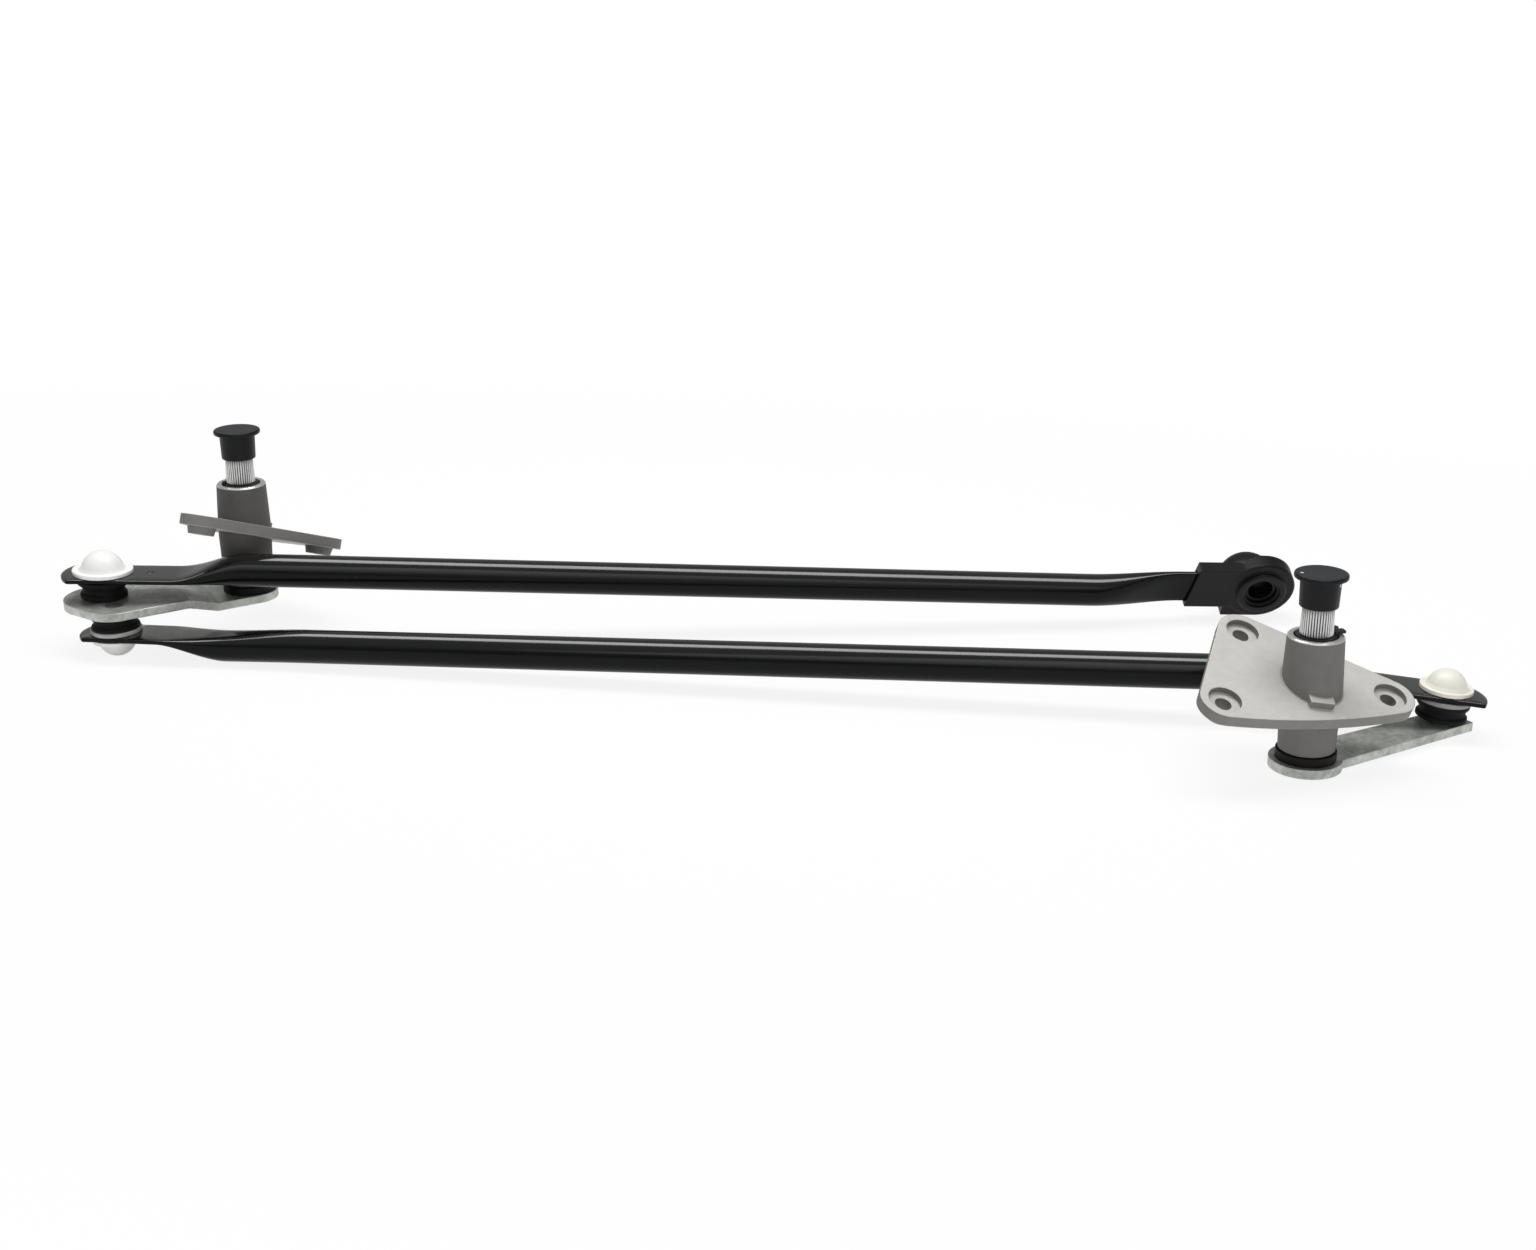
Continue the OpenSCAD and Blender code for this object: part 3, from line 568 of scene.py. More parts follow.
@dataclass(frozen=True)
class TurnedSteel(Finish):
    """Bright turned steel with fine rings, and painted shade between a knurl's teeth where one is named."""

    axis: Optional[Point] = None
    knurl_z: float = 0.0
    tint: Colour = (0.80, 0.81, 0.80)
    # painted shade in the knurl's valleys
    valley_shade: Colour = (0.045, 0.047, 0.046)
    crest_r: float = 6.62 * MM
    root_r: float = 6.42 * MM

    def material(self) -> bpy.types.Material:
        """Builds the material.

        Returns:
            The material.
        """
        t = Tree(self.name)
        soft = t.soft_normal(0.15 * MM)
        squeezed = {"Vector": t.coords, "Scale": (60.0, 60.0, 2400.0)}
        rings = t.noise(1.0, 3.0, t.node("ShaderNodeMapping", {}, squeezed))
        stain = t.noise(160.0, 4.0)
        base = t.shade(self.tint, 0.62 + stain * 0.5)
        rough = 0.2 + rings * 0.14 + stain * 0.08
        if self.axis is not None:
            # Painted shade in the knurl's valleys, which are also rougher.
            root = t.apart(self.axis, (1.0, 1.0, 0.0)).step(self.crest_r, self.root_r)
            root = root * t.split(t.coords, "Z").step(self.knurl_z, self.knurl_z + 0.4 * MM)
            base = t.colour(root * 0.85, base, self.valley_shade)
            rough = rough + root * 0.3
        return t.finish(
            Base_Color=base,
            Metallic=0.95,
            Roughness=rough,
            Normal=t.bump(rings, 0.12, 0.1 * MM, soft),
        )


@dataclass(frozen=True)
class GlossPaint(Finish):
    """Black paint, glossiest on top, with orange peel, dust and painted shade in a drilled hole where one is
    named.
    """

    tint: Colour = (0.0030, 0.0034, 0.0040)
    dust: Colour = (0.16, 0.16, 0.15)
    gloss: float = 0.9
    spot: Optional[Point] = None
    spot_r: float = 1.7 * MM
    # the drilled hole's painted shade
    hole_shade: Colour = (0.0015, 0.0015, 0.0015)

    def material(self) -> bpy.types.Material:
        """Builds the material.

        Returns:
            The material.
        """
        t = Tree(self.name)
        peel = t.noise(420.0, 2.0)
        haze = t.noise(38.0, 5.0)
        specks = t.cells(310.0).step(0.07, 0.045) * t.noise(24.0, 2.0).step(0.6, 0.7)
        base = t.colour(specks * 0.6, t.shade(self.tint, 0.7 + haze * 0.6), self.dust)
        upper = t.facing_up().step(0.25, 0.6)
        height: Value = peel
        rough = 0.15 + haze * 0.14 + specks * 0.4
        if self.spot is not None:
            # Painted shade: the drilled hole is a dark, rough, sunken spot.
            hole = t.apart(self.spot).step(self.spot_r + 0.2 * MM, self.spot_r - 0.2 * MM)
            base = t.colour(hole, base, self.hole_shade)
            rough = rough + hole * 0.6
            height = peel - hole * 6.0
        return t.finish(
            Base_Color=base,
            Roughness=rough,
            Normal=t.bump(height, 0.05, 0.2 * MM),
            Specular_IOR_Level=0.14,
            Coat_Weight=upper * self.gloss,
            Coat_Roughness=0.1,
        )


@dataclass(frozen=True)
class MattePlastic(Finish):
    """Black moulded plastic with a fine grain, paler worn edges and, where asked, white dust specks and a
    painted sheen on its level top.
    """

    tint: Colour = (0.0045, 0.0050, 0.0058)
    # worn: paler tint of worn edges, also used for the painted sheen on the level top
    worn: Colour = (0.025, 0.026, 0.028)
    dust: Colour = (0.75, 0.75, 0.74)
    specks: float = 0.0
    top_sheen: float = 0.0
    rough: float = 0.5
    edge_r: float = 0.5 * MM

    def material(self) -> bpy.types.Material:
        """Builds the material.

        Returns:
            The material.
        """
        t = Tree(self.name)
        soft = t.soft_normal(self.edge_r)
        grain = t.noise(1300.0, 3.0)
        cloud = t.noise(90.0, 4.0)
        base = t.shade(self.tint, 0.75 + cloud * 0.55)
        base = t.colour(t.edges(soft) * 0.45, base, self.worn)
        if self.top_sheen > 0.0:
            # Painted sheen: the level top takes the paler worn tint.
            base = t.colour(t.facing_up().step(0.8, 0.97) * self.top_sheen, base, self.worn)
        if self.specks > 0.0:
            dots = t.cells(210.0).step(0.2, 0.13) * t.noise(110.0, 1.0).step(0.56, 0.6)
            base = t.colour(dots * self.specks, base, self.dust)
        return t.finish(
            Base_Color=base,
            Roughness=self.rough - 0.08 + cloud * 0.16,
            Specular_IOR_Level=0.2,
            Normal=t.bump(grain, 0.14, 0.12 * MM, soft),
        )


@dataclass(frozen=True)
class Nylon(Finish):
    """Satin nylon, a little clouded, with grime where it was handled and painted shade on the lip on its far
    side.
    """

    place: Place
    tint: Colour = (0.93, 0.93, 0.91)
    grime: Colour = (0.78, 0.77, 0.72)
    # lip: the grey of the painted shade on the far side
    lip_shade: Colour = (0.30, 0.295, 0.285)
    lip_z: float = -3.0 * MM

    def material(self) -> bpy.types.Material:
        """Builds the material.

        Returns:
            The material.
        """
        t = Tree(self.name)
        soft = t.soft_normal(0.3 * MM)
        cloud = t.noise(120.0, 5.0)
        up = tuple(float(v) for v in self.place.axes[2])
        height = t.vector("DOT_PRODUCT", t.coords, up, "Value")
        seat_z = float(self.place.origin @ self.place.axes[2]) + self.lip_z
        # Painted shade: the far side, below the seat, turns grey.
        far = height.step(seat_z + 0.3 * MM, seat_z - 0.3 * MM)
        base = t.colour(cloud.step(0.52, 0.85) * 0.5, self.tint, self.grime)
        return t.finish(
            Base_Color=t.colour(far, base, t.shade(self.lip_shade, 0.7 + cloud * 0.6)),
            Roughness=0.3 + cloud * 0.15 + far * 0.2,
            Normal=t.bump(t.noise(700.0, 2.0), 0.05, 0.1 * MM, soft),
        )


@dataclass(frozen=True)
class Rubber(Finish):
    """Black rubber, dull, with a bloom of fine dust."""

    tint: Colour = (0.004, 0.0042, 0.0046)
    bloom: Colour = (0.013, 0.013, 0.014)

    def material(self) -> bpy.types.Material:
        """Builds the material.

        Returns:
            The material.
        """
        t = Tree(self.name)
        cloud = t.noise(200.0, 5.0)
        return t.finish(
            Base_Color=t.colour(cloud.step(0.5, 0.9), self.tint, self.bloom),
            Roughness=0.62 + cloud * 0.2,
            Specular_IOR_Level=0.2,
            Normal=t.bump(t.noise(1600.0, 2.0), 0.12, 0.1 * MM),
        )


@dataclass(frozen=True)
class DarkSteel(Finish):
    """Phosphated spring steel or sintered bronze: a metal with a speckled matt skin."""

    tint: Colour = (0.03, 0.03, 0.032)
    metal: float = 0.6

    def material(self) -> bpy.types.Material:
        """Builds the material.

        Returns:
            The material.
        """
        t = Tree(self.name)
        soft = t.soft_normal(0.2 * MM)
        speck = t.noise(900.0, 4.0)
        return t.finish(
            Base_Color=t.shade(self.tint, 0.6 + speck * 0.8),
            Metallic=self.metal,
            Roughness=0.36 + speck * 0.2,
            Normal=t.bump(speck, 0.15, 0.1 * MM, soft),
        )


# Pieces, with sizes in millimetres and degrees


def dress(piece: bpy.types.Object, material: bpy.types.Material) -> bpy.types.Object:
    """Gives an object one material in place of all it had.

    Args:
        piece: the object.
        material: its material.

    Returns:
        The object.
    """
    piece.data.materials.clear()
    piece.data.materials.append(material)
    return piece


def seat(piece: bpy.types.Object, body: Body, node: Optional[str]) -> None:
    """Lets a piece ride on a body and, where a node is named, stand for it.

    Args:
        piece: the new piece.
        body: the body that it moves with.
        node: the node that it stands for, or None for an added detail.
    """
    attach(piece, body.value)
    if node is not None:
        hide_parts(node)
    LOG.info("piece %s on %s", piece.name, body.value)


@dataclass(frozen=True)
class FlatEnd:
    """One pressed end of a rod: its width, lengths from the ball, place of its flat, roll and slope.

    The under side may leave its flat sooner than the upper one, after lengths of its own.
    """

    width: float
    flat_len: float
    blend_len: float
    centre: tuple[float, float]
    roll: float = 0.0
    pitch: float = 0.0
    low_flat: Optional[float] = None
    low_blend: Optional[float] = None


@dataclass
class Rod:
    """A tube pressed flat at both ends, as one skin and a drilled plate at each lever end."""

    name: str
    body: Body
    place: Place
    span: float
    near: FlatEnd
    far: FlatEnd
    tube_near: tuple[float, float]
    tube_far: tuple[float, float]
    radius: float = 8.0
    flat_t: float = 2.8
    square: float = 0.4
    around: int = 72
    end_rows: int = 72
    tube_rows: int = 32
    skin_start: float = 9.5
    skin_end: float = 9.5
    skin_sink: float = 0.02
    plate_around: int = 240
    edge_rows: int = 33
    edge_angle: float = 64.0
    hole_edge: float = 0.1

    def press(self, distance: np.ndarray, end: FlatEnd) -> tuple[np.ndarray, np.ndarray]:
        """How flat both halves of the section are: 1 on the flat, 0 on the tube, a smooth step between.

        Args:
            distance: distances from the end's ball.
            end: the pressed end.

        Returns:
            The share of the upper half and that of the lower one.
        """
        low_flat = end.flat_len if end.low_flat is None else end.low_flat
        low_blend = end.blend_len if end.low_blend is None else end.low_blend
        upper = 1.0 - ease((distance - end.flat_len) / end.blend_len)
        return upper, 1.0 - ease((distance - low_flat) / low_blend)

    def skin(self) -> bpy.types.Object:
        """Carries the section along the rod.

        Each half of the section is a power curve, a half circle on the tube that squares off towards the
        flat: across by the width times |cos a| to a power, up or down by the height times |sin a| to it.
        Heights, width and power run from the tube's to the flat's, and so does the middle that both halves
        start from.

        Returns:
            The skin, closed at both ends.
        """
        start = self.near.flat_len + self.near.blend_len
        stop = self.span - self.far.flat_len - self.far.blend_len
        x = np.concatenate([
            np.linspace(self.skin_start, start, self.end_rows)[:-1],
            np.linspace(start, stop, self.tube_rows)[:-1],
            np.linspace(stop, self.span - self.skin_end, self.end_rows),
        ])
        share, near = x / self.span, x < self.span / 2
        both = zip(self.press(x, self.near), self.press(self.span - x, self.far))
        upper, lower = (np.where(near, p, q)[:, None] for p, q in both)
        tube = np.outer(1 - share, self.tube_near) + np.outer(share, self.tube_far)
        rise = np.where(near, x * math.tan(math.radians(self.near.pitch)),
                        (self.span - x) * math.tan(math.radians(self.far.pitch)))
        flat = np.where(near[:, None], self.near.centre, self.far.centre) + np.stack([0 * x, rise], 1)
        twist = ease((x - start) / (stop - start))
        roll = np.radians(self.near.roll + (self.far.roll - self.near.roll) * twist)
        turn_up = np.stack([-np.sin(roll), np.cos(roll)], 1)
        half = self.flat_t / 2 - self.skin_sink
        crest, keel = (
            tube + turn_up * self.radius * k + (flat - tube + turn_up * (half - self.radius) * k) * share_flat
            for k, share_flat in ((1, upper), (-1, lower))
        )
        middle = (crest + keel) / 2
        height = np.einsum("ij,ij->i", crest - keel, turn_up)[:, None] / 2
        end_half = np.where(near, self.near.width, self.far.width)[:, None] / 2
        width = self.radius + (end_half - self.radius) * (upper + lower) / 2
        a = 2 * math.pi * (np.arange(self.around) + 0.5) / self.around
        power = 1.0 - (1.0 - self.square) * np.where(np.sin(a) > 0, upper, lower)
        u = width * np.sign(np.cos(a)) * np.abs(np.cos(a)) ** power
        v = height * np.sign(np.sin(a)) * np.abs(np.sin(a)) ** power
        c, d = np.cos(roll)[:, None], np.sin(roll)[:, None]
        y, z = middle[:, :1] + u * c - v * d, middle[:, 1:] + u * d + v * c
        body = np.stack([np.broadcast_to(x[:, None], y.shape), y, z], -1)
        tips = body[[0, -1]].mean(1, keepdims=True) * np.ones((1, self.around, 1))
        body = np.concatenate([tips[:1], body, tips[1:]])
        quads = grid_quads(len(body), self.around, False, True)
        return make_object(self.name + "_skin", self.place.put(body.reshape(-1, 3)), quads)

    def plate(
        self, name: str, place: Place, width: float, hole: float, cut_r: float,
        cut: tuple[float, float], join: float, middle: float,
    ) -> bpy.types.Object:
        """A flat end with its hole: a rounded edge carried round the hole's centre.

        In each direction the plate reaches to the nearest of the band's sides, the round cut and the joining
        line.

        Args:
            name: the piece's name.
            place: frame at the ball, with the tip towards -X.
            width: width of the band.
            hole: radius of the hole.
            cut_r: radius of the round cut at the tip.
            cut: centre of that cut.
            join: how far the plate runs under the skin.
            middle: height of the plate's middle over the ball.

        Returns:
            The plate.
        """
        c = np.asarray(cut)
        corner_x = c[0] - math.sqrt(max(cut_r**2 - (width / 2 - abs(c[1])) ** 2, 0.0))
        sharp = [math.atan2(side * width / 2, x) for side in (-1, 1) for x in (join, corner_x)]
        even = np.linspace(-math.pi, math.pi, self.plate_around, endpoint=False)
        a = np.sort(np.concatenate([even, sharp]))
        d = np.stack([np.cos(a), np.sin(a)], 1)
        lean = d @ c
        round_cut = lean + np.sqrt(np.maximum(lean**2 - c @ c + cut_r**2, 0.0))
        beside = width / 2 / np.maximum(np.abs(d[:, 1]), TINY)
        ahead = np.where(d[:, 0] > TINY, join / np.maximum(d[:, 0], TINY), np.inf)
        reach = np.minimum(np.minimum(round_cut, beside), ahead)
        t = np.radians(np.linspace(self.edge_angle, -self.edge_angle, self.edge_rows))
        inset = width / 2 * (1.0 - np.cos(t) ** self.square)
        height = self.flat_t / 2 * np.sign(t) * np.abs(np.sin(t)) ** self.square
        crown = self.flat_t / 2 * np.array([1.0, 0.99, -0.99, -1.0])
        wall = np.full((len(a), 2), [hole, hole + self.hole_edge])
        r = np.column_stack([wall, reach[:, None] - inset, wall[:, ::-1]])
        rim = np.concatenate([crown[:2], height, crown[2:]])
        local = np.stack([r * d[:, :1], r * d[:, 1:], np.broadcast_to(middle + rim, r.shape)], -1)
        quads = grid_quads(len(a), len(rim), True, True)
        return make_object(name, place.put(local.reshape(-1, 3)), quads)


@dataclass
class BallJoint:
    """A nylon socket and, below it, a rubber boot."""

    name: str
    body: Body
    place: Place
    ball_r: float
    dome_r: float
    flange_r: float
    far_r: float
    foot_z: float
    boot_rim_r: float
    clear: float = 0.15
    snap: float = 0.4
    collar_wall: float = 2.05
    seat_z: float = -0.3
    under_z: float = -3.1
    collar_lip: float = 0.8
    collar_gap: float = 0.1
    flange_t: float = 1.6
    rim_rise: float = 0.3
    rim_w: float = 1.3
    rim_foot: float = 1.9
    groove: float = 0.1
    dome_gap: float = 0.5
    dome_foot: float = 1.6
    lip_t: float = 2.0
    waist_r: float = 9.8
    wall: float = 1.6
    neck_in: float = 6.2
    hem: float = 1.2
    cup_rows: int = 24
    dome_rows: int = 28

    def socket(self) -> bpy.types.Object:
        """Turns the socket: cup, mouth, far flange or collar, near flange with a raised rim, and dome.

        Returns:
            The socket.
        """
        cup, mouth = self.ball_r + self.clear, self.ball_r - self.snap
        collar = cup + self.collar_wall
        low = self.under_z - (self.lip_t if self.far_r > 0 else self.collar_lip)
        top = self.seat_z + self.flange_t
        inner = arc(cup, 90.0, -math.degrees(math.acos(mouth / cup)), self.cup_rows)
        far = [[self.far_r, low], [self.far_r, self.under_z]] if self.far_r > 0 else [[collar, low]]
        far_round = [0.7, 0.4] if self.far_r > 0 else [0.3]
        foot = math.degrees(math.asin((top + self.dome_foot) / self.dome_r))
        dome = arc(self.dome_r, foot, 90.0, self.dome_rows)
        corners = [
            [mouth, low], *far, [collar, self.under_z], [collar, self.seat_z],
            [self.flange_r, self.seat_z], [self.flange_r, top + self.rim_rise],
            [self.flange_r - self.rim_w, top + self.rim_rise],
            [self.flange_r - self.rim_foot, top - self.groove],
            [self.dome_r + self.dome_gap, top], dome[0].tolist(),
        ]
        radii = [0.3, *far_round, 0.0, 0.0, 0.3, 0.5, 0.4, 0.4, 1.6, 0.0]
        outline = rounded(corners, radii, False)
        outline[:, 0] = np.maximum(outline[:, 0], mouth)
        profile = np.concatenate([inner, outline[1:], dome[1:]])
        return revolve(self.name + "_nylon_socket", self.place, profile, False)

    def boot(self) -> bpy.types.Object:
        """Turns the boot: a rim under the socket, a flare with a fold, a waist and a hem over the lever.

        Returns:
            The boot.
        """
        top = self.under_z - (self.lip_t if self.far_r > 0 else 0.0)
        h = top - self.foot_z
        rim_in = self.ball_r + self.clear + self.collar_wall + (self.collar_gap if self.far_r <= 0 else 0.0)
        waist_in = self.waist_r - self.wall
        corners = [
            [rim_in, top], [self.boot_rim_r, top], [self.boot_rim_r, top - 0.22 * h],
            [self.waist_r + 0.5, top - 0.42 * h], [self.waist_r + 0.1, top - 0.5 * h],
            [self.waist_r, self.foot_z + 0.32 * h], [self.waist_r + self.hem, self.foot_z + 0.2 * h],
            [self.waist_r + self.hem, self.foot_z], [self.neck_in, self.foot_z],
            [self.neck_in, self.foot_z + 0.2 * h], [waist_in, self.foot_z + 0.32 * h],
            [waist_in, top - 0.5 * h], [rim_in, top - 0.24 * h],
        ]
        radii = [0.2, 0.5, 0.6, 0.8, 0.5, 0.8, 0.5, 0.4, 0.3, 0.3, 0.4, 0.4, 0.3]
        return revolve(self.name + "_rubber_boot", self.place, rounded(corners, radii, True), True)


@dataclass
class Cap:
    """The mushroom cap pushed over an arm stud."""

    name: str
    body: Body
    low: np.ndarray
    high: np.ndarray
    flange_t: float = 2.2
    sleeve_r: float = 8.4
    foot_r: float = 8.0
    bore_r: float = 4.1
    roof_t: float = 1.8
    dish: float = 0.15
    head_share: float = 0.8
    edge_drop: float = 0.1

    def shell(self) -> bpy.types.Object:
        """Turns the cap: slightly dished head with a soft edge, sleeve that narrows downwards, and bore.

        Returns:
            The cap.
        """
        middle = (self.low + self.high) / 2
        r, h = (self.high[0] - self.low[0]) / 2 / MM, (self.high[2] - self.low[2]) / MM
        place = Place.upright([middle[0], middle[1], self.low[2]])
        corners = [
            [0, h - self.dish], [r * self.head_share, h], [r, h - self.edge_drop], [r, h - self.flange_t],
            [self.sleeve_r, h - self.flange_t], [self.foot_r, 0], [self.bore_r, 0],
            [self.bore_r, h - self.roof_t], [0, h - self.roof_t],
        ]
        radii = [0, 3.0, 1.1, 0.7, 0.6, 0.6, 0.3, 0.2, 0]
        return revolve(self.name, place, rounded(corners, radii, False), False)


@dataclass
class ClipEar:
    """One of the two flat ears of a retaining clip, which lie over the tube's rim."""

    name: str
    body: Body
    place: Place
    half: Point = (2.1, 1.85, 0.66)
    square: float = 0.3
    around: int = 64
    rows: int = 33

    def block(self) -> bpy.types.Object:
        """Squares off a ball into a rounded block.

        A point is (cos b cos a, cos b sin a, sin b) times the half sizes, with each sine and cosine raised
        to a small power and its sign kept.

        Returns:
            The ear.
        """
        a = np.linspace(-math.pi, math.pi, self.around, endpoint=False)
        b = np.linspace(-math.pi / 2, math.pi / 2, self.rows)[:, None]
        c, d, lift = (np.sign(v) * np.abs(v) ** self.square for v in (np.cos(a), np.sin(a), np.sin(b)))
        ring = np.cos(b) ** self.square
        ring[[0, -1]] = 0.0
        local = np.stack([ring * c, ring * d, np.broadcast_to(lift, (self.rows, self.around))], -1) * self.half
        quads = grid_quads(self.rows, self.around, False, True)
        return make_object(self.name, self.place.put(local.reshape(-1, 3)), quads)


@dataclass
class Linkage:
    """The whole linkage: where its joints lie, the sizes that its pieces share, and the pieces themselves."""

    frame: dict[str, Any]
    flat_z: float = -1.7
    left_reach: float = 12.8
    lower_reach: float = 11.85
    right_reach: float = 14.5
    boot_gap: float = 0.7
    right_gap: float = 1.7
    pitch: float = 6.0
    roll: float = -65.0
    motor_drop: float = 6.7
    pilot_x: float = 22.4
    clip_angle: float = 45.0
    ear_turn: float = 13.5
    ear_r: float = 10.3
    ear_z: float = 0.82
    joints: dict[str, np.ndarray] = field(init=False)

    def __post_init__(self) -> None:
        """Reads where the joints and the motor's ball lie."""
        placed = (joint for joint in self.frame["joints"] if joint.get("pos_m"))
        self.joints = {joint["name"]: np.array(joint["pos_m"], float) for joint in placed}
        mount = next(m for m in self.frame["record"]["mounts"] if m["name"] == "motor_ball_seat")
        axis, length = np.array(mount["axis"], float), mount["dims"]["length_mm"] * MM
        self.joints["motor"] = np.array(mount["pos_m"], float) - axis * length / 2

    def upper_rod(self) -> None:
        """Builds the rod from the left lever to the motor, with its socket and boot."""
        ball, motor = self.joints["upper_rod_swing"], self.joints["motor"]
        place, span = Place.between(ball, motor), float(np.linalg.norm(motor - ball)) / MM
        turn = math.radians(-self.roll)
        lean = np.array([math.sin(turn), math.cos(turn)])
        rod = Rod(
            "upper_rod", Body.UPPER_ROD, place, span,
            near=FlatEnd(width=25.5, flat_len=34.0, blend_len=34.0, centre=(0.0, self.flat_z)),
            far=FlatEnd(
                width=18.6, flat_len=40.0, blend_len=48.0, centre=tuple(self.flat_z * lean), roll=self.roll
            ),
            tube_near=(0.0, 2.3), tube_far=tuple(-self.motor_drop * lean), skin_end=13.0,
        )
        drilled = place.moved([self.pilot_x, 0.0, self.flat_z + rod.flat_t / 2])
        burr = [[0, -0.5], [1.45, -0.5], [1.6, 0.02], [1.75, 0.1], [2.05, -0.06], [2.05, -0.6], [0, -0.6]]
        burr_line = rounded(burr, [0, 0.1, 0.05, 0.1, 0.1, 0.1, 0], False, steps=4)
        pieces = [
            rod.skin(),
            rod.plate(
                "upper_rod_tip", place, width=rod.near.width, hole=8.8, cut_r=20.0, cut=(0.7, 0.0), join=12.0,
                middle=self.flat_z,
            ),
            revolve("upper_rod_pilot", drilled, burr_line, False, around=48),
        ]
        paint = GlossPaint("rod_paint_upper", spot=tuple(drilled.origin)).material()
        for piece in pieces:
            seat(dress(piece, paint), rod.body, "upper_rod")
        joint = BallJoint(
            "upper", rod.body, place, ball_r=6.5, dome_r=10.4, flange_r=14.2, far_r=0.0,
            foot_z=self.boot_gap - self.left_reach, boot_rim_r=12.4,
        )
        nylon, rubber = Nylon("nylon_white", place), Rubber("boot_rubber_upper")
        self.fit_joint(joint, nylon.material(), rubber.material())

    def lower_rod(self) -> None:
        """Builds the rod between the two levers, with both its sockets and boots."""
        ball, right = self.joints["lower_rod_swing"], self.joints["right_lever_swing"]
        place, span = Place.between(ball, right), float(np.linalg.norm(right - ball)) / MM
        near = FlatEnd(
            width=22.8, flat_len=38.0, blend_len=58.0, centre=(0.0, -self.flat_z), low_flat=24.0, low_blend=32.0
        )
        far = FlatEnd(
            width=22.8, flat_len=40.0, blend_len=48.0, centre=(0.0, self.flat_z), pitch=self.pitch
        )
        rod = Rod(
            "lower_rod", Body.LOWER_ROD, place, span, near, far, tube_near=(0.0, -2.25), tube_far=(0.0, 4.9)
        )
        left, end = place.rolled(180.0), place.moved([span, 0, 0]).pitched(self.pitch)
        turned = Place(end.origin, np.array([[-1, 0, 0], [0, -1, 0], [0, 0, 1]]) @ end.axes)
        pieces = [rod.skin()]
        for side, at, cut_r, cut in (("left", left, 15.9, (-1.4, 0.0)), ("right", turned, 17.0, (0.0, 4.0))):
            pieces.append(rod.plate(
                f"lower_rod_{side}_tip", at, width=near.width, hole=8.3, cut_r=cut_r, cut=cut, join=11.0,
                middle=self.flat_z,
            ))
        paint = GlossPaint("rod_paint_lower").material()
        for piece in pieces:
            seat(dress(piece, paint), rod.body, "lower_rod")
        # The lip colours are painted shade on the sockets' far sides.
        pale = Nylon(
            "nylon_pale", left, tint=(0.92, 0.915, 0.88), grime=(0.80, 0.79, 0.74), lip_shade=(0.42, 0.41, 0.39)
        )
        ivory = Nylon("nylon_ivory", end, tint=(0.87, 0.855, 0.765), grime=(0.74, 0.72, 0.62))
        rubber = Rubber("boot_rubber_lower").material()
        for side, at, foot_z, nylon in (
            ("left", left, self.boot_gap - self.lower_reach, pale),
            ("right", end, self.right_gap - self.right_reach, ivory),
        ):
            joint = BallJoint(
                f"lower_{side}", rod.body, at, ball_r=6.0, dome_r=9.05, flange_r=11.5, far_r=12.0,
                foot_z=foot_z, boot_rim_r=11.4,
            )
            self.fit_joint(joint, nylon.material(), rubber)

    def fit_joint(self, joint: BallJoint, nylon: bpy.types.Material, rubber: bpy.types.Material) -> None:
        """Makes a ball joint's socket and boot in their materials."""
        seat(dress(joint.socket(), nylon), joint.body, joint.name + "_socket")
        seat(dress(joint.boot(), rubber), joint.body, joint.name + "_boot")

    def caps(self) -> None:
        """Builds both stud caps; the right one carries white dust."""
        for side, body, specks in (("left", Body.LEFT_CAP, 0.0), ("right", Body.RIGHT_CAP, 0.9)):
            low, high = (np.array(v, float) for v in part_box(side + "_cap"))
            cap = Cap(side + "_cap_shell", body, low, high)
            # Both caps get a painted sheen on their level tops.
            finish = MattePlastic(
                side + "_cap_plastic", tint=(0.0052, 0.0057, 0.0066), specks=specks, top_sheen=0.9, rough=0.42
            )
            seat(dress(cap.shell(), finish.material()), body, side + "_cap")

    def clip_ears(self) -> None:
        """Lays the right clip's ears over the rim of its tube, on the clip's own ends."""
        low, high = (np.array(v, float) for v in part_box("right_shaft"))
        axis = np.array([*(low + high)[:2] / 2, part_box("right_pivot_housing")[1][2]])
        steel = DarkSteel("ear_steel", tint=(0.012, 0.012, 0.013), metal=0.3).material()
        for end, side in (("near", -1), ("far", 1)):
            turn = math.radians(self.clip_angle + side * self.ear_turn)
            out = Place.between(axis, axis + np.array([math.cos(turn), math.sin(turn), 0.0]))
            on_rim = out.moved([self.ear_r, 0.0, self.ear_z])
            ear = ClipEar(f"right_clip_{end}_ear", Body.RIGHT_CRANK, on_rim)
            seat(dress(ear.block(), steel), ear.body, None)

    def castings(self) -> None:
        """Dresses the solids that stay as they are."""
        nodes = self.frame["nodes"]
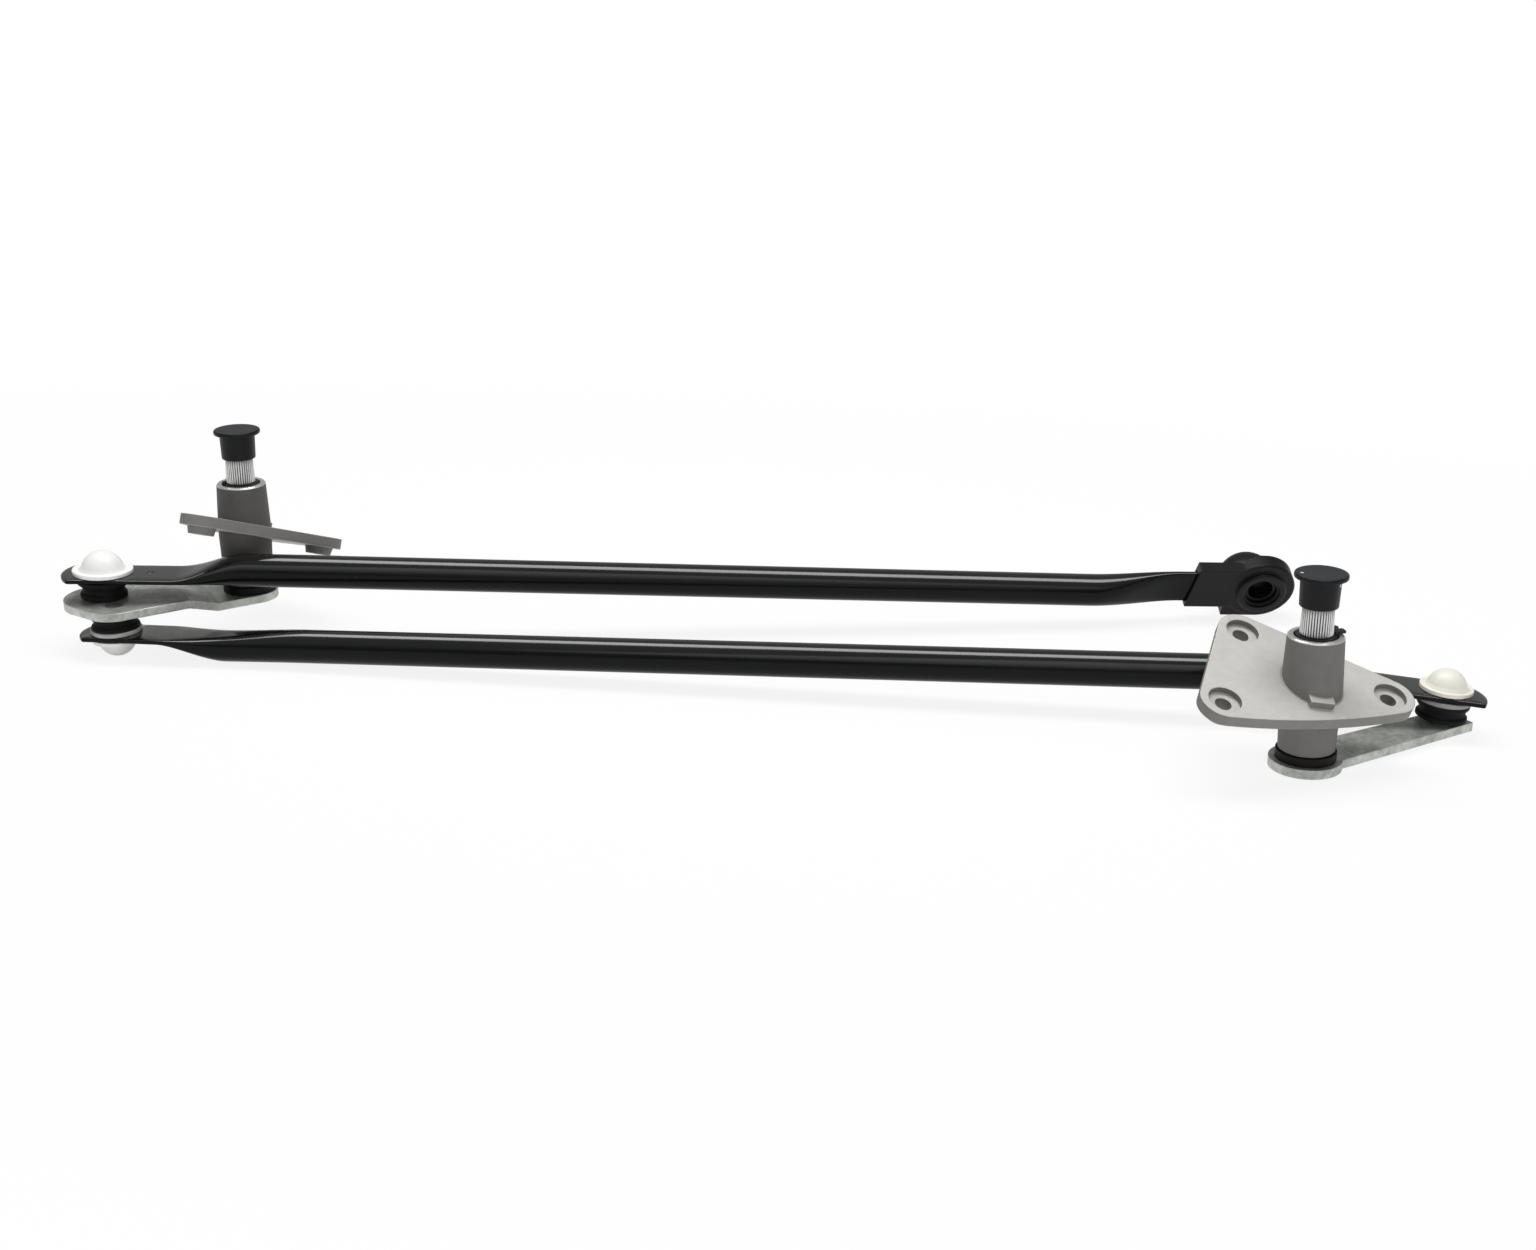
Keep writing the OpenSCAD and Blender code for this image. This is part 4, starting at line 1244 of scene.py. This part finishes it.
        # Painted shade on the pivot tubes: the left one darker.
        for side, shade in (("left", 0.5), ("right", 0.9)):
            low, high = (np.array(v, float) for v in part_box(side + "_shaft"))
            axis = tuple(float(v) for v in (low + high) / 2)
            mouth = float(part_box(side + "_pivot_housing")[1][2])
            cast = CastAluminium(side + "_cast", axis, mouth, tube_shade=shade)
            dress(nodes[side + "_pivot_housing"], cast.material())
            dress(nodes[side + "_shaft"], TurnedSteel(side + "_shaft_steel", axis, mouth).material())
        sides = ("left", "right")
        kept = (
            (TurnedSteel("stud_steel"), ("left_upper_stud", "left_lower_stud", "right_stud")),
            (PlatedSteel("lever_zinc"), [side + "_lever" for side in sides]),
            (MattePlastic("ring_plastic", tint=(0.0035, 0.0036, 0.004), rough=0.55),
             [side + "_thrust_ring" for side in sides]),
            (DarkSteel("clip_steel"), [side + "_clip" for side in sides]),
            (DarkSteel("bush_bronze", tint=(0.52, 0.36, 0.17), metal=1.0),
             [side + "_bushes" for side in sides]),
            (Rubber("seal_rubber"), [side + "_seal" for side in sides]),
            (MattePlastic("cover_plastic", tint=(0.0034, 0.0038, 0.0045), rough=0.4, edge_r=1.0 * MM),
             ["motor_cover"]),
            (MattePlastic("seat_nylon", rough=0.36), ["motor_seat"]),
        )
        for finish, names in kept:
            material = finish.material()
            for name in names:
                dress(nodes[name], material)
                LOG.info("dressed %s", name)


# Studio


@dataclass(frozen=True)
class SoftBox:
    """A rectangular lamp that faces the middle of the part: place and size in metres, power in watts."""

    name: str
    at: Point
    size: tuple[float, float]
    power: float


@dataclass
class Studio:
    """White table, two soft boxes, even surroundings and the camera of the photograph.

    The offset is the camera's place from the foot of the left pivot, in millimetres.
    """

    left_pivot: np.ndarray
    frame_px: tuple[int, int] = (1536, 1250)
    focal_px: float = 2117.7
    azimuth: float = 20.38
    elevation: float = 19.25
    offset: Point = (586.0, -842.4, 348.6)
    floor_half: float = 30.0
    floor_points: int = 5
    floor_z: float = -0.15 * MM
    floor_glow: float = 0.86
    glow_rise: tuple[float, float] = (0.3, 0.62)
    sky: float = 0.32
    lamps: tuple[SoftBox, ...] = (
        SoftBox("overhead", (-0.05, 0.1, 1.35), (1.7, 0.5), 17.0),
        SoftBox("front", (0.9, -1.9, 1.1), (2.6, 1.6), 10.0),
    )

    def floor(self) -> None:
        """Lays a wide white table.

        It glows for the camera and in reflections, wholly white far off, and takes the object's shadow near it.
        """
        u = np.linspace(-self.floor_half, self.floor_half, self.floor_points)
        x, y = np.meshgrid(u, u, indexing="ij")
        points = np.stack([x, y, np.full_like(x, self.floor_z)], -1).reshape(-1, 3)
        quads = grid_quads(self.floor_points, self.floor_points, False, False)[:, ::-1]
        mesh = bpy.data.meshes.new("table")
        mesh.from_pydata(points.tolist(), [], quads.tolist())
        table = bpy.data.objects.new("table", mesh)
        bpy.context.scene.collection.objects.link(table)
        t = Tree("table_white")
        kinds = ("Camera", "Glossy", "Transmission")
        camera, glossy, through = (t.node("ShaderNodeLightPath", {}, {}, f"Is {kind} Ray") for kind in kinds)
        shown = (camera + glossy + through).step(0.0, 1.0)
        paint = t.node("ShaderNodeBsdfDiffuse", {}, {"Color": (0.9, 0.9, 0.9)})
        glow = t.node("ShaderNodeEmission", {}, {"Color": (1.0, 1.0, 1.0), "Strength": 1.0})
        far = t.apart((0.0, 0.0, 0.0), (0.6, 1.0, 0.0)).step(*self.glow_rise)
        strength = self.floor_glow + far * (1.0 - self.floor_glow)
        mixed = t.node("ShaderNodeMixShader", {}, {0: shown * strength, 1: paint, 2: glow})
        t.node("ShaderNodeOutputMaterial", {}, {0: mixed})
        dress(table, t.material)

    def lamp(self, box: SoftBox) -> None:
        """Hangs a soft box, its back axis pointing away from the part's middle.

        Args:
            box: the lamp.
        """
        data = bpy.data.lights.new(box.name, "AREA")
        data.shape, data.size, data.size_y, data.energy = "RECTANGLE", *box.size, box.power
        lamp = bpy.data.objects.new(box.name, data)
        bpy.context.scene.collection.objects.link(lamp)
        back = np.asarray(box.at) / np.linalg.norm(box.at)
        side = np.cross([0.0, 1.0, 0.0], back)
        side /= np.linalg.norm(side)
        matrix = np.eye(4)
        matrix[:3, :3], matrix[:3, 3] = np.stack([side, np.cross(back, side), back], 1), box.at
        lamp.matrix_world = matrix.T.tolist()  # a plain list is read column by column

    def surroundings(self) -> None:
        """Gives an even, weak white light from all round."""
        world = bpy.data.worlds.new("studio")
        bpy.context.scene.world = world
        world.use_nodes = True
        background = world.node_tree.nodes["Background"]
        background.inputs["Color"].default_value = (1.0, 1.0, 1.0, 1.0)
        background.inputs["Strength"].default_value = self.sky

    def camera(self) -> None:
        """Stands the camera where the photograph was taken."""
        data = bpy.data.cameras.new("camera")
        data.sensor_fit, data.sensor_width = "HORIZONTAL", 36.0
        data.lens = self.focal_px * data.sensor_width / self.frame_px[0]
        data.clip_end = 100.0
        camera = bpy.data.objects.new("camera", data)
        bpy.context.scene.collection.objects.link(camera)
        camera.location = tuple(self.left_pivot * np.array([1, 1, 0]) + np.array(self.offset) * MM)
        camera.rotation_euler = (math.radians(90.0 - self.elevation), 0.0, math.radians(self.azimuth))
        bpy.context.scene.camera = camera

    def build(self) -> None:
        """Sets the whole studio."""
        self.floor()
        for box in self.lamps:
            self.lamp(box)
        self.surroundings()
        self.camera()
        bpy.context.scene.view_settings.view_transform = "Standard"


def main() -> None:
    """Builds the studio and the linkage."""
    logging.basicConfig(level=logging.INFO, format="%(name)s %(message)s")
    for leftover in list(bpy.data.objects):
        bpy.data.objects.remove(leftover)
    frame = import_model()
    linkage = Linkage(frame)
    Studio(linkage.joints["left_shaft_turn"]).build()
    linkage.castings()
    linkage.upper_rod()
    linkage.lower_rod()
    linkage.caps()
    linkage.clip_ears()


if __name__ == "__main__":
    main()
